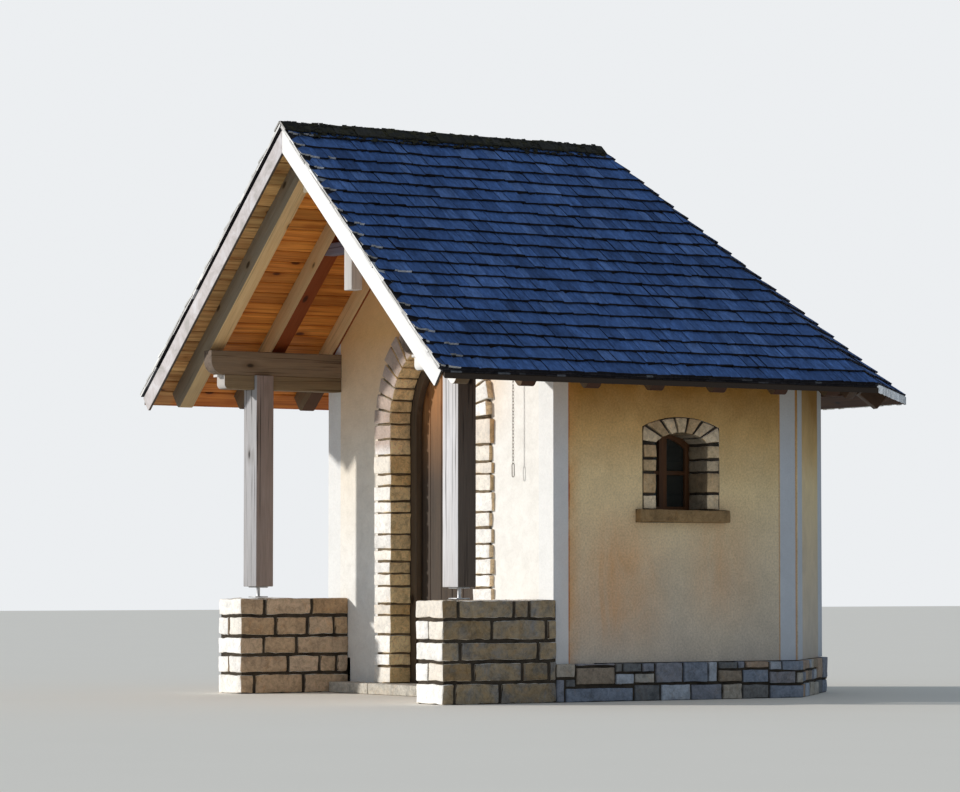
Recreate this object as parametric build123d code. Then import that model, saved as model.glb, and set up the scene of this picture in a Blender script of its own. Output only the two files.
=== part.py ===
from build123d import *
from math import atan, cos, radians, sin, tan
import os

# Small alpine wayside chapel, in millimetres
# Lengths along the chapel are counted from the front wall's outer face, towards the apse.
# The doorway looks along -Y, and the origin lies on the ground below the middle of the roof's outline.

# Walls
wall_width = 2800
wall_thickness = 300
apse_centre_from_front = 1308
floor_level = 74
plinth_proud = 40
plinth_height = 240

# Roof
roof_half_span = 1955
roof_pitch = 40.2
eave_top_height = 2015
porch_reach = 1146
verge_oversail = 20
shingle_thickness = 32
board_thickness = 24
ridge_cap_leg = 105
ridge_cap_thickness = 20

# Rafters and bargeboards
rafter_width = 100
rafter_depth = 142
rafter_tail_setback = 92
rafter_tail_radius = 36
first_rafter = -912
rafter_spacing = 474
rafter_count = 6
jack_rafter = 1870
rafter_seat_depth = 6
hip_tail_setback = 130
apse_tail_setback = 150
hip_joint_gap = 0.5
barge_thickness = 18
barge_depth = 115
barge_foot_setback = 18
barge_end_radius = 8

# Purlins, king post and collar
ridge_purlin_width = 100
ridge_purlin_height = 140
eave_purlin_width = 110
eave_purlin_height = 160
eave_purlin_reach = 1000
eave_purlin_nose_radius = 92
king_post_width = 96
king_post_depth = 80
king_post_front = 660
king_post_foot_height = 2618
collar_thickness = 80
collar_height = 78
collar_foot_height = 2892

# Porch
porch_wall_length = 829
porch_wall_thickness = 320
porch_wall_height = 638
post_width = 180
post_depth = 130
post_setback = 154
post_foot_gap = 73
post_foot_rod_radius = 12
post_foot_plate_side = 96
post_foot_plate_thickness = 8
porch_beam_width = 110
porch_beam_height = 96
porch_beam_reach = 900
porch_beam_nose_radius = 34
doorstep_reach = 160

# Doorway
doorway_half_width = 498
doorway_spring_height = 1790
door_stone_width = 223
door_stone_proud = 51
door_stone_depth = 120
inner_reveal_half_width = 620
door_frame_thickness = 45
door_frame_inner_half_width = 440
door_frame_outer_half_width = 600
door_thickness = 45
door_half_width = 480
door_face_gap = 7
door_floor_gap = 8

# Door hinges
hinge_side_gap = 16
hinge_back_gap = 6
hinge_pin_radius = 6
hinge_bore_clearance = 0.1
hinge_barrel_radius = 11
hinge_barrel_height = 44
hinge_heights = (330, 1560)
hinge_arm_thickness = 15
hinge_rest_gap = 0.3
strap_length = 620
strap_thickness = 5

# Windows
window_from_front = 967
window_width = 388
window_sill_height = 1200
window_spring_height = 1617
window_arch_rise = 64
window_stone_width = 104
window_stone_proud = 12
window_reveal = 200
window_seat_height = 84
window_seat_width = 700
window_seat_proud = 55
window_seat_depth = 150
sash_thickness = 50
sash_frame_width = 52
sash_overlap = 30
sash_mullion_width = 60
glass_thickness = 6

# Chain that hangs beside the doorway
chain_offset = 1033
chain_from_front = -60
chain_radius = 5
chain_foot_height = 1399

# Derived measures
pitch = radians(roof_pitch)
octagon = tan(radians(22.5))
wall_half = wall_width / 2
door_stone_half = doorway_half_width + door_stone_width
verge_line = -porch_reach - verge_oversail
back_eave_line = apse_centre_from_front + roof_half_span
front_face_y = -(verge_line + back_eave_line) / 2
shingle_drop = shingle_thickness / cos(pitch)
boards_bottom = -shingle_drop - board_thickness / cos(pitch)
rafters_bottom = boards_bottom - rafter_depth / cos(pitch)
post_centre = wall_half + plinth_proud - porch_wall_thickness / 2
porch_wall_inner = wall_half + plinth_proud - porch_wall_thickness
nodes = {}


def roof_height(reach, drop=0.0):
    """Height of the roof at a level distance from the ridge, or of a layer below it."""
    return eave_top_height + (roof_half_span - reach) * tan(pitch) + drop


eave_purlin_top = roof_height(post_centre + eave_purlin_width / 2, rafters_bottom) + rafter_seat_depth
eave_purlin_foot = eave_purlin_top - eave_purlin_height
ridge_purlin_top = roof_height(ridge_purlin_width / 2, rafters_bottom) + rafter_seat_depth
ridge_purlin_foot = ridge_purlin_top - ridge_purlin_height


def outline_face(points):
    """Flat face through corners given from the front wall's face."""
    return make_face(Polyline([(x, y + front_face_y, z) for x, y, z in points], close=True))


def upright(plan, foot, top):
    """Prism on a plan outline, from one height to another."""
    face = outline_face([(x, y, foot) for x, y in plan])
    return extrude(face, amount=top - foot, dir=(0, 0, 1))


def block(x_low, x_high, y_low, y_high, z_low, z_high):
    """Box between two corners."""
    return upright([(x_low, y_low), (x_high, y_low), (x_high, y_high), (x_low, y_high)], z_low, z_high)


def crosswise(outline, y_low, y_high):
    """Prism on an outline seen from the front, running along the chapel."""
    face = outline_face([(x, y_low, z) for x, z in outline])
    return extrude(face, amount=y_high - y_low, dir=(0, 1, 0))


def rod(radius, x, y, foot, height):
    """Upright round bar."""
    bar = Cylinder(radius, height, align=(Align.CENTER, Align.CENTER, Align.MIN))
    return bar.moved(Location((x, y + front_face_y, foot)))


def mirrored(shape):
    """The same shape on the other side of the ridge line."""
    return mirror(shape, about=Plane.YZ)


def joined(*shapes):
    """Shapes that don't touch, kept together as one node."""
    return Compound(children=[solid for shape in shapes for solid in shape.solids()])


def both_sides(shape):
    """The shape and its mirror image as one node."""
    return joined(shape, mirrored(shape))


def roof_corner(reach):
    """Plan place where the side eave meets the oblique eave, at a distance from the ridge."""
    return (reach, apse_centre_from_front + reach * octagon)


def roof_back_corner(reach):
    """Plan place where the oblique eave meets the back eave."""
    return (reach * octagon, apse_centre_from_front + reach)


def side_plan(reach, front):
    """Plan outline of the right roof slope."""
    return [(0, front), (reach, front), roof_corner(reach), (0, apse_centre_from_front)]


def oblique_plan(reach):
    """Plan outline of the right oblique face over the apse."""
    return [(0, apse_centre_from_front), roof_corner(reach), roof_back_corner(reach)]


def back_plan(reach):
    """Plan outline of the face over the apse's end wall."""
    x, y = roof_back_corner(reach)
    return [(0, apse_centre_from_front), (x, y), (-x, y)]


def roof_slab(plan, reach, top, drop):
    """Layer of the roof over a plan outline, cut upright at ridge, hips and eave."""
    on_ridge = [(0, apse_centre_from_front), plan[0]]
    corners = [(x, y, roof_height(0 if (x, y) in on_ridge else reach, top)) for x, y in plan]
    return extrude(outline_face(corners), amount=drop, dir=(0, 0, -1))


def apse_layer(reach, top, drop):
    """Layer over the three faces of the apse, as one shape."""
    oblique = roof_slab(oblique_plan(reach), reach, top, drop)
    return oblique + roof_slab(back_plan(reach), reach, top, drop) + mirrored(oblique)


def build_roof_skin():
    """Shingle layer, soffit boards and ridge cap."""
    span = roof_half_span
    slope = roof_slab(side_plan(span, verge_line), span, 0, shingle_drop)
    nodes["roof_shingles_right"] = slope
    nodes["roof_shingles_left"] = mirrored(slope)
    nodes["apse_shingles"] = apse_layer(span, 0, shingle_drop)
    board_drop = -boards_bottom - shingle_drop
    slope = roof_slab(side_plan(span, -porch_reach + barge_thickness), span, -shingle_drop, board_drop)
    nodes["roof_boards_right"] = slope
    nodes["roof_boards_left"] = mirrored(slope)
    nodes["roof_boards_apse"] = apse_layer(span, -shingle_drop, board_drop)
    leg = ridge_cap_leg * cos(pitch)
    drop = ridge_cap_thickness / cos(pitch)
    under = [(-leg, roof_height(leg)), (0, roof_height(0)), (leg, roof_height(leg))]
    over = [(x, z + drop) for x, z in reversed(under)]
    nodes["ridge_cap"] = crosswise(under + over, verge_line, apse_centre_from_front)


def plank_outline(top, depth, foot_reach, radius):
    """Outline of a rafter or bargeboard, cut square at its foot, with its lower corner to be rounded."""
    down, across = (cos(pitch), -sin(pitch)), (-sin(pitch), -cos(pitch))
    foot = (foot_reach, roof_height(foot_reach, top))
    corner = (foot[0] + across[0] * depth, foot[1] + across[1] * depth)
    before = (corner[0] - down[0] * radius, corner[1] - down[1] * radius)
    after = (corner[0] - across[0] * radius, corner[1] - across[1] * radius)
    middle = ((before[0] + after[0]) / 2, (before[1] + after[1]) / 2)
    crown = (middle[0] + (corner[0] - middle[0]) * octagon, middle[1] + (corner[1] - middle[1]) * octagon)
    head = [(0, roof_height(0, top - depth / cos(pitch))), (0, roof_height(0, top))]
    return [before] + head + [foot, after], crown


def plank(top, depth, foot_reach, radius, y_low, y_high):
    """Rafter or bargeboard of the right slope, from the ridge to its foot."""
    outline, crown = plank_outline(top, depth, foot_reach, radius)
    y = y_low + front_face_y
    points = [(x, y, z) for x, z in outline]
    rounding = ThreePointArc(points[-1], (crown[0], y, crown[1]), points[0])
    return extrude(make_face(Polyline(points) + rounding), amount=y_high - y_low, dir=(0, 1, 0))


def rafter_centres():
    """Places of the common rafters along the chapel."""
    return [first_rafter + step * rafter_spacing for step in range(rafter_count)]


def hip_strip(turn):
    """Upright cutter as wide as a hip rafter, from the ridge end outwards."""
    high = 2 * roof_height(0)
    strip = Box(roof_half_span * 2, rafter_width, high, align=(Align.MIN, Align.CENTER, Align.CENTER))
    return strip.rotate(Axis.Z, turn).moved(Location((0, apse_centre_from_front + front_face_y, 0)))


def sector(turn):
    """Upright wedge an eighth of a turn wide, that keeps a hip clear of its neighbours."""
    near = hip_joint_gap / sin(radians(22.5))
    far = roof_half_span * 2
    corners = [(near, 0), (near + far, far * octagon), (near + far, -far * octagon)]
    wedge = extrude(make_face(Polyline(corners, close=True)), amount=2 * roof_height(0), dir=(0, 0, 1))
    return wedge.rotate(Axis.Z, turn).moved(Location((0, apse_centre_from_front + front_face_y, 0)))


def hip_rafter(turn):
    """Rafter under the line where two roof faces meet, set low enough to clear both."""
    hip_pitch = atan(tan(pitch) * cos(radians(22.5)))
    reach = roof_half_span / cos(radians(22.5)) - hip_tail_setback
    top = roof_height(0, boards_bottom) - tan(pitch) * sin(radians(22.5)) * rafter_width / 2
    foot = (reach, top - reach * tan(hip_pitch))
    corner = (foot[0] - sin(hip_pitch) * rafter_depth, foot[1] - cos(hip_pitch) * rafter_depth)
    outline = [(0, top), foot, corner, (0, top - rafter_depth / cos(hip_pitch))]
    face = make_face(Polyline([(reach, 0, z) for reach, z in outline], close=True))
    beam = extrude(face, amount=rafter_width / 2, dir=(0, 1, 0), both=True)
    beam = beam.rotate(Axis.Z, turn).moved(Location((0, apse_centre_from_front + front_face_y, 0)))
    return beam & sector(turn)


def apse_rafter(turn):
    """Common rafter in the middle of one apse face, between its two hips."""
    start = -rafter_width / 2 - front_face_y
    beam = plank(boards_bottom, rafter_depth, roof_half_span - apse_tail_setback, rafter_tail_radius,
                 start, start + rafter_width)
    beam = beam.rotate(Axis.Z, turn).moved(Location((0, apse_centre_from_front + front_face_y, 0)))
    beam = beam - hip_strip(turn - 22.5) - hip_strip(turn + 22.5)
    return beam.solids().sort_by(SortBy.VOLUME)[-1]


def nosed_beam(beam, radius):
    """Timber with its lower front edge rounded."""
    front = beam.edges().filter_by(Axis.X).group_by(Axis.Y)[0]
    return fillet(front.sort_by(Axis.Z)[0], radius)


def build_roof_timbers():
    """Purlins, rafters, hips, bargeboards, and the porch gable's king post and collar."""
    half = ridge_purlin_width / 2
    purlin = block(-half, half, first_rafter - rafter_width / 2, apse_centre_from_front - rafter_width,
                   ridge_purlin_foot, ridge_purlin_top)
    nodes["ridge_purlin"] = purlin
    half = eave_purlin_width / 2
    inner_corner = apse_centre_from_front + (wall_half - wall_thickness) * octagon
    eave_purlin = block(post_centre - half, post_centre + half, -eave_purlin_reach, inner_corner,
                        eave_purlin_foot, eave_purlin_top)
    eave_purlin = nosed_beam(eave_purlin, eave_purlin_nose_radius)
    nodes["eave_purlins"] = both_sides(eave_purlin)

    foot = roof_half_span - rafter_tail_setback
    rafters = []
    for centre in rafter_centres() + [jack_rafter]:
        rafter = plank(boards_bottom, rafter_depth, foot, rafter_tail_radius, centre - rafter_width / 2,
                       centre + rafter_width / 2)
        if centre + rafter_width > apse_centre_from_front:
            rafter = (rafter - hip_strip(22.5)).solids().sort_by(Axis.X)[-1]
        rafters.append(rafter - purlin - eave_purlin)
    nodes["rafters_right"] = joined(*rafters)
    nodes["rafters_left"] = mirrored(nodes["rafters_right"])
    nodes["hip_rafters"] = joined(both_sides(hip_rafter(22.5)), both_sides(hip_rafter(67.5)))
    nodes["apse_rafters"] = joined(both_sides(apse_rafter(45)), apse_rafter(90))

    board = plank(-shingle_drop, barge_depth, roof_half_span - barge_foot_setback, barge_end_radius,
                  -porch_reach, -porch_reach + barge_thickness)
    mitre = block(-hip_joint_gap, hip_joint_gap, -porch_reach, 0, 0, roof_height(0))
    nodes["bargeboards"] = both_sides(board - mitre)

    half = king_post_width / 2
    king_post_back = -king_post_front + king_post_depth
    nodes["king_post"] = block(-half, half, -king_post_front, king_post_back, king_post_foot_height,
                               ridge_purlin_foot)
    collar_front = rafter_centres()[1] - rafter_width / 2
    collar = block(-roof_half_span / 2, roof_half_span / 2, collar_front, collar_front + collar_thickness,
                   collar_foot_height, collar_foot_height + collar_height)
    collar = collar - rafters[1] - mirrored(rafters[1])
    nodes["collar_beam"] = collar.solids().sort_by(SortBy.VOLUME)[-1]


def wall_corners(offset):
    """Half plan of the walls' outline moved outwards: side line, side corner and back corner."""
    half = wall_half + offset
    return half, roof_corner(half), roof_back_corner(half)


def under_roof(plan, foot):
    """Wall on a plan outline, built up to the soffit boards and round the roof timbers."""
    wall = upright(plan, foot, roof_height(0))
    reach, above = roof_half_span * 1.2, roof_height(0)
    right = roof_slab(side_plan(reach, verge_line), reach, boards_bottom + above, above)
    wall = wall - right - mirrored(right) - apse_layer(reach, boards_bottom + above, above)
    for name in ("ridge_purlin", "eave_purlins", "rafters_right", "rafters_left", "hip_rafters",
                 "apse_rafters"):
        for timber in nodes[name].solids():
            wall = wall - timber
    return wall.solids().sort_by(SortBy.VOLUME)[-1]


def build_masonry():
    """Plinth, floor, walls, doorstep and the low walls of the porch."""
    half, corner, back = wall_corners(0)
    foot_half, foot_corner, foot_back = wall_corners(plinth_proud)
    in_half, in_corner, in_back = wall_corners(-wall_thickness)
    in_left, in_left_back = (-in_corner[0], in_corner[1]), (-in_back[0], in_back[1])

    side = [(foot_half, 0), foot_corner, in_corner, (in_half, wall_thickness), (half, wall_thickness),
            (half, 0)]
    nodes["plinth_right"] = upright(side, 0, plinth_height)
    nodes["plinth_left"] = mirrored(nodes["plinth_right"])
    oblique = upright([foot_corner, foot_back, in_back, in_corner], 0, plinth_height)
    end = upright([foot_back, (-foot_back[0], foot_back[1]), in_left_back, in_back], 0, plinth_height)
    nodes["plinth_apse"] = oblique + end + mirrored(oblique)

    reveal = inner_reveal_half_width
    room = [(-in_half, wall_thickness), (-reveal, wall_thickness), (-reveal, door_stone_depth),
            (reveal, door_stone_depth), (reveal, wall_thickness), (in_half, wall_thickness),
            in_corner, in_back, in_left_back, in_left]
    nodes["floor_slab"] = upright(room, 0, floor_level)
    edge, stones = porch_wall_inner, door_stone_half
    step = [(-edge, -doorstep_reach), (edge, -doorstep_reach), (edge, 0), (stones, 0),
            (stones, door_stone_depth), (-stones, door_stone_depth), (-stones, 0), (-edge, 0)]
    nodes["doorstep"] = upright(step, 0, floor_level)

    side = [(half, wall_thickness), corner, in_corner, (in_half, wall_thickness)]
    wall = under_roof(side, plinth_height) - window_stone_space() - window_sash_space() - window_seat()
    nodes["side_wall_right"] = wall
    nodes["side_wall_left"] = mirrored(wall)
    nodes["apse_wall_right"] = under_roof([corner, back, in_back, in_corner], plinth_height)
    nodes["apse_wall_left"] = mirrored(nodes["apse_wall_right"])
    end = [back, (-back[0], back[1]), in_left_back, in_back]
    nodes["apse_wall_back"] = under_roof(end, plinth_height)

    pier = [(stones, 0), (half, 0), (half, wall_thickness), (reveal, wall_thickness),
            (reveal, door_stone_depth), (stones, door_stone_depth)]
    middle = block(-stones, stones, 0, wall_thickness, doorway_spring_height, roof_height(0))
    nodes["front_wall_right"] = under_roof(pier, 0) - middle
    nodes["front_wall_left"] = mirrored(nodes["front_wall_right"])
    gable = [(-stones, 0), (stones, 0), (stones, wall_thickness), (-stones, wall_thickness)]
    arch = half_disc(stones, 0, door_stone_depth) + half_disc(reveal, 0, wall_thickness)
    nodes["front_wall_gable"] = under_roof(gable, doorway_spring_height) - arch

    low_wall = block(edge, wall_half + plinth_proud, -porch_wall_length, 0, 0, porch_wall_height)
    nodes["porch_wall_right"] = low_wall
    nodes["porch_wall_left"] = mirrored(low_wall)


def half_disc(radius, y_low, y_high):
    """Half disc above the springing of the doorway's arch."""
    y, z = y_low + front_face_y, doorway_spring_height
    arc = ThreePointArc((radius, y, z), (0, y, z + radius), (-radius, y, z))
    face = make_face(Line((-radius, y, z), (radius, y, z)) + arc)
    return extrude(face, amount=y_high - y_low, dir=(0, 1, 0))


def round_headed(half_width, foot, y_low, y_high):
    """Door-shaped solid with a round head."""
    lower = block(-half_width, half_width, y_low, y_high, foot, doorway_spring_height)
    return lower + half_disc(half_width, y_low, y_high)


def build_doorway():
    """Stone surround, wooden frame, arched leaf and its two hinges."""
    jamb = block(doorway_half_width, door_stone_half, -door_stone_proud, door_stone_depth, floor_level,
                 doorway_spring_height)
    nodes["door_jambs"] = both_sides(jamb)
    ring = half_disc(door_stone_half, -door_stone_proud, door_stone_depth)
    nodes["door_arch"] = ring - half_disc(doorway_half_width, -door_stone_proud, door_stone_depth)

    front = door_stone_depth
    back = front + door_frame_thickness
    frame = round_headed(door_frame_outer_half_width, floor_level, front, back)
    nodes["door_frame"] = frame - round_headed(door_frame_inner_half_width, floor_level, front, back)
    leaf_front = back + door_face_gap
    leaf_back = leaf_front + door_thickness
    nodes["door_leaf"] = round_headed(door_half_width, floor_level + door_floor_gap, leaf_front, leaf_back)

    pin_x, pin_y = -door_half_width - hinge_side_gap, leaf_back + hinge_back_gap
    pintles, straps = [], []
    for height in hinge_heights:
        barrel = rod(hinge_barrel_radius, pin_x, pin_y, height, hinge_barrel_height)
        strap = block(pin_x, pin_x + strap_length, leaf_back, leaf_back + strap_thickness, height,
                      height + hinge_barrel_height)
        bore = rod(hinge_pin_radius + hinge_bore_clearance, pin_x, pin_y, height, hinge_barrel_height)
        straps.append(barrel + strap - bore)
        arm_top = height - hinge_rest_gap
        arm = block(pin_x - hinge_barrel_radius, pin_x + hinge_barrel_radius, back, pin_y,
                    arm_top - hinge_arm_thickness, arm_top)
        arm_end = rod(hinge_barrel_radius, pin_x, pin_y, arm_top - hinge_arm_thickness, hinge_arm_thickness)
        pin = rod(hinge_pin_radius, pin_x, pin_y, arm_top, hinge_rest_gap + hinge_barrel_height)
        pintles.append(arm + arm_end + pin)
    nodes["door_pintles"] = joined(*pintles)
    nodes["door_straps"] = joined(*straps)


def segment_headed(width, foot, spring, x_low, x_high):
    """Window-shaped solid with a flat-arched head, lying across the right side wall."""
    y, half = window_from_front + front_face_y, width / 2
    sides = Polyline((x_low, y - half, spring), (x_low, y - half, foot), (x_low, y + half, foot),
                     (x_low, y + half, spring))
    head = ThreePointArc((x_low, y + half, spring), (x_low, y, spring + window_arch_rise),
                         (x_low, y - half, spring))
    return extrude(make_face(sides + head), amount=x_high - x_low, dir=(1, 0, 0))


def window_stone_space(proud=1.0):
    """Space of the stone surround, out to a little past the wall's face."""
    return segment_headed(window_width + 2 * window_stone_width, window_sill_height,
                          window_spring_height + window_stone_width, wall_half - window_reveal,
                          wall_half + proud)


def window_sash_space(edge=0.0, x_low=wall_half - wall_thickness, x_high=wall_half - window_reveal):
    """Space of the sash behind the surround, or a smaller one inside its edge."""
    return segment_headed(window_width + 2 * (sash_overlap - edge), window_sill_height - sash_overlap + edge,
                          window_spring_height + sash_overlap - edge, x_low, x_high)


def window_seat():
    """Stone sill under one window."""
    half = window_seat_width / 2
    return block(wall_half - window_seat_depth, wall_half + window_seat_proud, window_from_front - half,
                 window_from_front + half, window_sill_height - window_seat_height, window_sill_height)


def build_windows():
    """Stone surround, sill, sash and glass of the two side windows."""
    back = wall_half - window_reveal
    hole = segment_headed(window_width, window_sill_height, window_spring_height, back,
                          wall_half + window_stone_proud)
    nodes["window_surrounds"] = both_sides(window_stone_space(window_stone_proud) - hole)
    nodes["window_sills"] = both_sides(window_seat())
    inner = back - sash_thickness
    sash = window_sash_space(0, inner, back)
    light = window_sash_space(sash_frame_width, inner, back)
    half = sash_mullion_width / 2
    mullion = block(inner, back, window_from_front - half, window_from_front + half, window_sill_height,
                    window_spring_height + window_arch_rise)
    nodes["window_sashes"] = both_sides(sash - (light - mullion))
    middle = back - sash_thickness / 2
    glass = window_sash_space(sash_frame_width, middle - glass_thickness / 2, middle + glass_thickness / 2)
    nodes["window_glass"] = both_sides(glass - mullion)


def build_porch():
    """Posts with forked heads on steel feet, and the beams that they hold."""
    half = porch_beam_width / 2
    beam = block(post_centre - half, post_centre + half, -porch_beam_reach, 0,
                 eave_purlin_foot - porch_beam_height, eave_purlin_foot)
    beam = nosed_beam(beam, porch_beam_nose_radius)
    nodes["porch_beams"] = both_sides(beam)
    half, post_front = post_width / 2, -porch_wall_length + post_setback
    foot = porch_wall_height + post_foot_gap
    post = block(post_centre - half, post_centre + half, post_front, post_front + post_depth, foot,
                 eave_purlin_foot)
    nodes["posts"] = both_sides(post - beam)
    middle, side = post_front + post_depth / 2, post_foot_plate_side / 2
    plate = block(post_centre - side, post_centre + side, middle - side, middle + side, porch_wall_height,
                  porch_wall_height + post_foot_plate_thickness)
    top_plate = plate.moved(Location((0, 0, post_foot_gap - post_foot_plate_thickness)))
    foot_bar = rod(post_foot_rod_radius, post_centre, middle, porch_wall_height, post_foot_gap)
    nodes["post_feet"] = both_sides(plate + foot_bar + top_plate)


def build_chain():
    """Thin chain that hangs from the porch ceiling beside the doorway."""
    drop = roof_height(chain_offset + chain_radius, boards_bottom) - chain_foot_height
    nodes["hanging_chain"] = rod(chain_radius, chain_offset, chain_from_front, chain_foot_height, drop)


build_roof_skin()
build_roof_timbers()
build_masonry()
build_doorway()
build_windows()
build_porch()
build_chain()

os.makedirs("parts", exist_ok=True)
for name, shape in nodes.items():
    export_step(shape, f"parts/{name}.step")
    print(name, len(shape.solids()), round(shape.volume))
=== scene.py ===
import bpy
import bmesh
import random
from math import cos, pi, radians, sin, sqrt, tan
from mathutils import Matrix, Vector, noise


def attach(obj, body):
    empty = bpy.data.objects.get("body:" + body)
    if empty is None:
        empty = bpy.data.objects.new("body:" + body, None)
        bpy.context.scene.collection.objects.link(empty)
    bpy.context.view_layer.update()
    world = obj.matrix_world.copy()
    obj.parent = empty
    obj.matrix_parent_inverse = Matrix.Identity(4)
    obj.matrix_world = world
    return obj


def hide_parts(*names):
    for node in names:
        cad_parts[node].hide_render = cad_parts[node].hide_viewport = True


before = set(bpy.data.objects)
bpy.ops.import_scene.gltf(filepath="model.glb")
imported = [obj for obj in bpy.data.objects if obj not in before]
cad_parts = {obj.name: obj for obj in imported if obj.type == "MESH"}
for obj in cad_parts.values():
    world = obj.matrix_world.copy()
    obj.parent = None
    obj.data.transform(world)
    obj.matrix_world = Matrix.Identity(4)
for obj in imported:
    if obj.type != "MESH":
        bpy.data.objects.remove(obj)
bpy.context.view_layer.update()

scene = bpy.context.scene
# Without a seed, vector noise starts from the clock and the stones differ from run to run
noise.seed_set(1)

# Driving measures of the CAD model, in metres, with lengths along the chapel counted from the front wall
FRONT = -1.0485
PITCH = radians(40.2)
SPAN = 1.955
EAVE = 2.015
APEX = EAVE + SPAN * tan(PITCH)
APSE = 1.308
VERGE = -1.166
SLOPE = SPAN / cos(PITCH)
OCT = tan(radians(22.5))
WALL = 1.4
FLOOR = 0.074
SPRING = 1.79
DOOR_R = 0.498
STONE_R = 0.721
STONE_BACK = 0.119

# Measures of the visual model alone
COURSES = 21
DIAGONAL = 0.7071
EAVE_PLANE = SPAN - 0.0005
HIGHEST = 3.692


# Node trees
def put(socket, value):
    """Feed a socket with a value of the node tree, or with a plain number or colour."""
    if isinstance(value, Value):
        value.tree.links.new(value.socket, socket)
    elif socket.type == "RGBA":
        socket.default_value = (*value[:3], 1)
    else:
        socket.default_value = value


def calculate(tree, kind, *values):
    """Value of one more math node."""
    made = tree.nodes.new("ShaderNodeMath")
    made.operation = kind
    for socket, value in zip(made.inputs, values):
        put(socket, value)
    return Value(tree, made.outputs[0])


class Value:
    """A value of a node tree, whose arithmetic adds the nodes that it needs; | takes the larger value."""

    def __init__(self, tree, socket):
        self.tree, self.socket = tree, socket

    def __add__(self, other):
        return calculate(self.tree, "ADD", self, other)

    def __sub__(self, other):
        return calculate(self.tree, "SUBTRACT", self, other)

    def __rsub__(self, other):
        return calculate(self.tree, "SUBTRACT", other, self)

    def __mul__(self, other):
        return calculate(self.tree, "MULTIPLY", self, other)

    def __or__(self, other):
        return calculate(self.tree, "MAXIMUM", self, other)

    def __gt__(self, other):
        return calculate(self.tree, "GREATER_THAN", self, other)

    def __lt__(self, other):
        return calculate(self.tree, "LESS_THAN", self, other)

    def __abs__(self):
        return calculate(self.tree, "ABSOLUTE", self)

    def near(self, other, slack):
        return calculate(self.tree, "COMPARE", self, other, slack)

    def clamped(self):
        self.socket.node.use_clamp = True
        return self


class Shader:
    """A material whose node tree is built with short calls."""

    def __init__(self, name, rough, spec):
        self.material = bpy.data.materials.new(name)
        self.material.use_nodes = True
        self.tree = self.material.node_tree
        self.tree.nodes.clear()
        out = self.tree.nodes.new("ShaderNodeOutputMaterial")
        self.bsdf = self.tree.nodes.new("ShaderNodeBsdfPrincipled")
        self.tree.links.new(self.bsdf.outputs[0], out.inputs[0])
        self.bsdf.inputs["Roughness"].default_value = rough
        self.bsdf.inputs["Specular IOR Level"].default_value = spec

    def node(self, kind, inputs, out=0, **props):
        made = self.tree.nodes.new("ShaderNode" + kind)
        for key, value in props.items():
            setattr(made, key, value)
        for key, value in inputs.items():
            put(made.inputs[key], value)
        return Value(self.tree, made.outputs[out])

    def attr(self, name, out="Fac"):
        return self.node("Attribute", {}, out, attribute_name=name)

    def axes(self, vector):
        parts = self.node("SeparateXYZ", {0: vector}).socket.node
        return [Value(self.tree, part) for part in parts.outputs]

    def place(self):
        return self.node("TexCoord", {}, "Object")

    def spot(self):
        """Length across, along the chapel from the front wall, and up."""
        x, y, z = self.axes(self.place())
        return x, y - FRONT, z

    def facing(self):
        """Direction of the face."""
        return self.axes(self.node("NewGeometry", {}, "True Normal"))

    def noise(self, vector, scale, detail=3.0, rough=0.55, warp=0.0, offset=(0, 0, 0)):
        """Noise with one scale, or with a scale for each axis."""
        if isinstance(scale, tuple):
            vector, scale = self.node("Mapping", {0: vector, 1: offset, 3: scale}), 1.0
        inputs = {"Vector": vector, "Scale": scale, "Detail": detail, "Roughness": rough, "Distortion": warp}
        return self.node("TexNoise", inputs)

    def ramp(self, value, *stops):
        """Colours, or greys from plain numbers, along a value."""
        result = self.node("ValToRGB", {0: value})
        points = result.socket.node.color_ramp.elements
        while len(points) < len(stops):
            points.new(0.5)
        for point, (position, colour) in zip(points, stops):
            point.position = position
            grey = isinstance(colour, (int, float))
            point.color = (colour, colour, colour, 1) if grey else (*colour, 1)
        return result

    def step(self, value, low, high):
        """Zero at low and one at high, and no less or more outside."""
        return self.node("MapRange", {0: value, 1: low, 2: high, 3: 0.0, 4: 1.0}, clamp=True)

    def mix(self, share, first, second, kind="MIX"):
        return self.node("Mix", {0: share, 6: first, 7: second}, 2, data_type="RGBA", blend_type=kind)

    def tone(self, colour, *layers):
        """Multiply a colour by one factor after another, each over its own share."""
        for share, factor in layers:
            colour = self.mix(share, colour, factor, "MULTIPLY")
        return colour

    def cover(self, colour, *layers):
        """Lay one colour after another over the first, each over its own share."""
        for share, over in layers:
            colour = self.mix(share, colour, over)
        return colour

    def finish(self, colour, height=None, strength=0.0, distance=0.0, rough=None):
        put(self.bsdf.inputs["Base Color"], colour)
        if height:
            inputs = {"Height": height, "Strength": strength, "Distance": distance}
            put(self.bsdf.inputs["Normal"], self.node("Bump", inputs))
        if rough:
            put(self.bsdf.inputs["Roughness"], rough)
        return self.material


# Colours of places on the pieces
def soffit_zones(s, colour):
    """Fresh pine inside, olive weathered in the outermost bay and darker towards the eave, with painted shade
    under the apse roof and on the board ends along the eave.
    """
    x, along = s.spot()[:2]
    u, v = abs(x), along - APSE
    reach = u | (u + v) * DIAGONAL | v
    edge = s.step(reach, 1.921, 1.925) * (s.facing()[2] > -0.5)
    colour = s.tone(colour, (s.step(along, -0.90, -0.95) * 0.75, (0.82, 1.42, 3.4)),
                    (s.step(reach, 0.9, 0.2), (1.10, 1.20, 1.20)),
                    (s.step(reach, 1.62, 1.95), (0.72, 0.60, 0.50)),
                    # painted shade under the apse roof
                    (s.step(along, 1.5, 1.9), (0.14, 0.13, 0.13)))
    # painted shade on the board ends along the eave
    return s.cover(colour, (edge, (0.035, 0.022, 0.014)))


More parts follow.
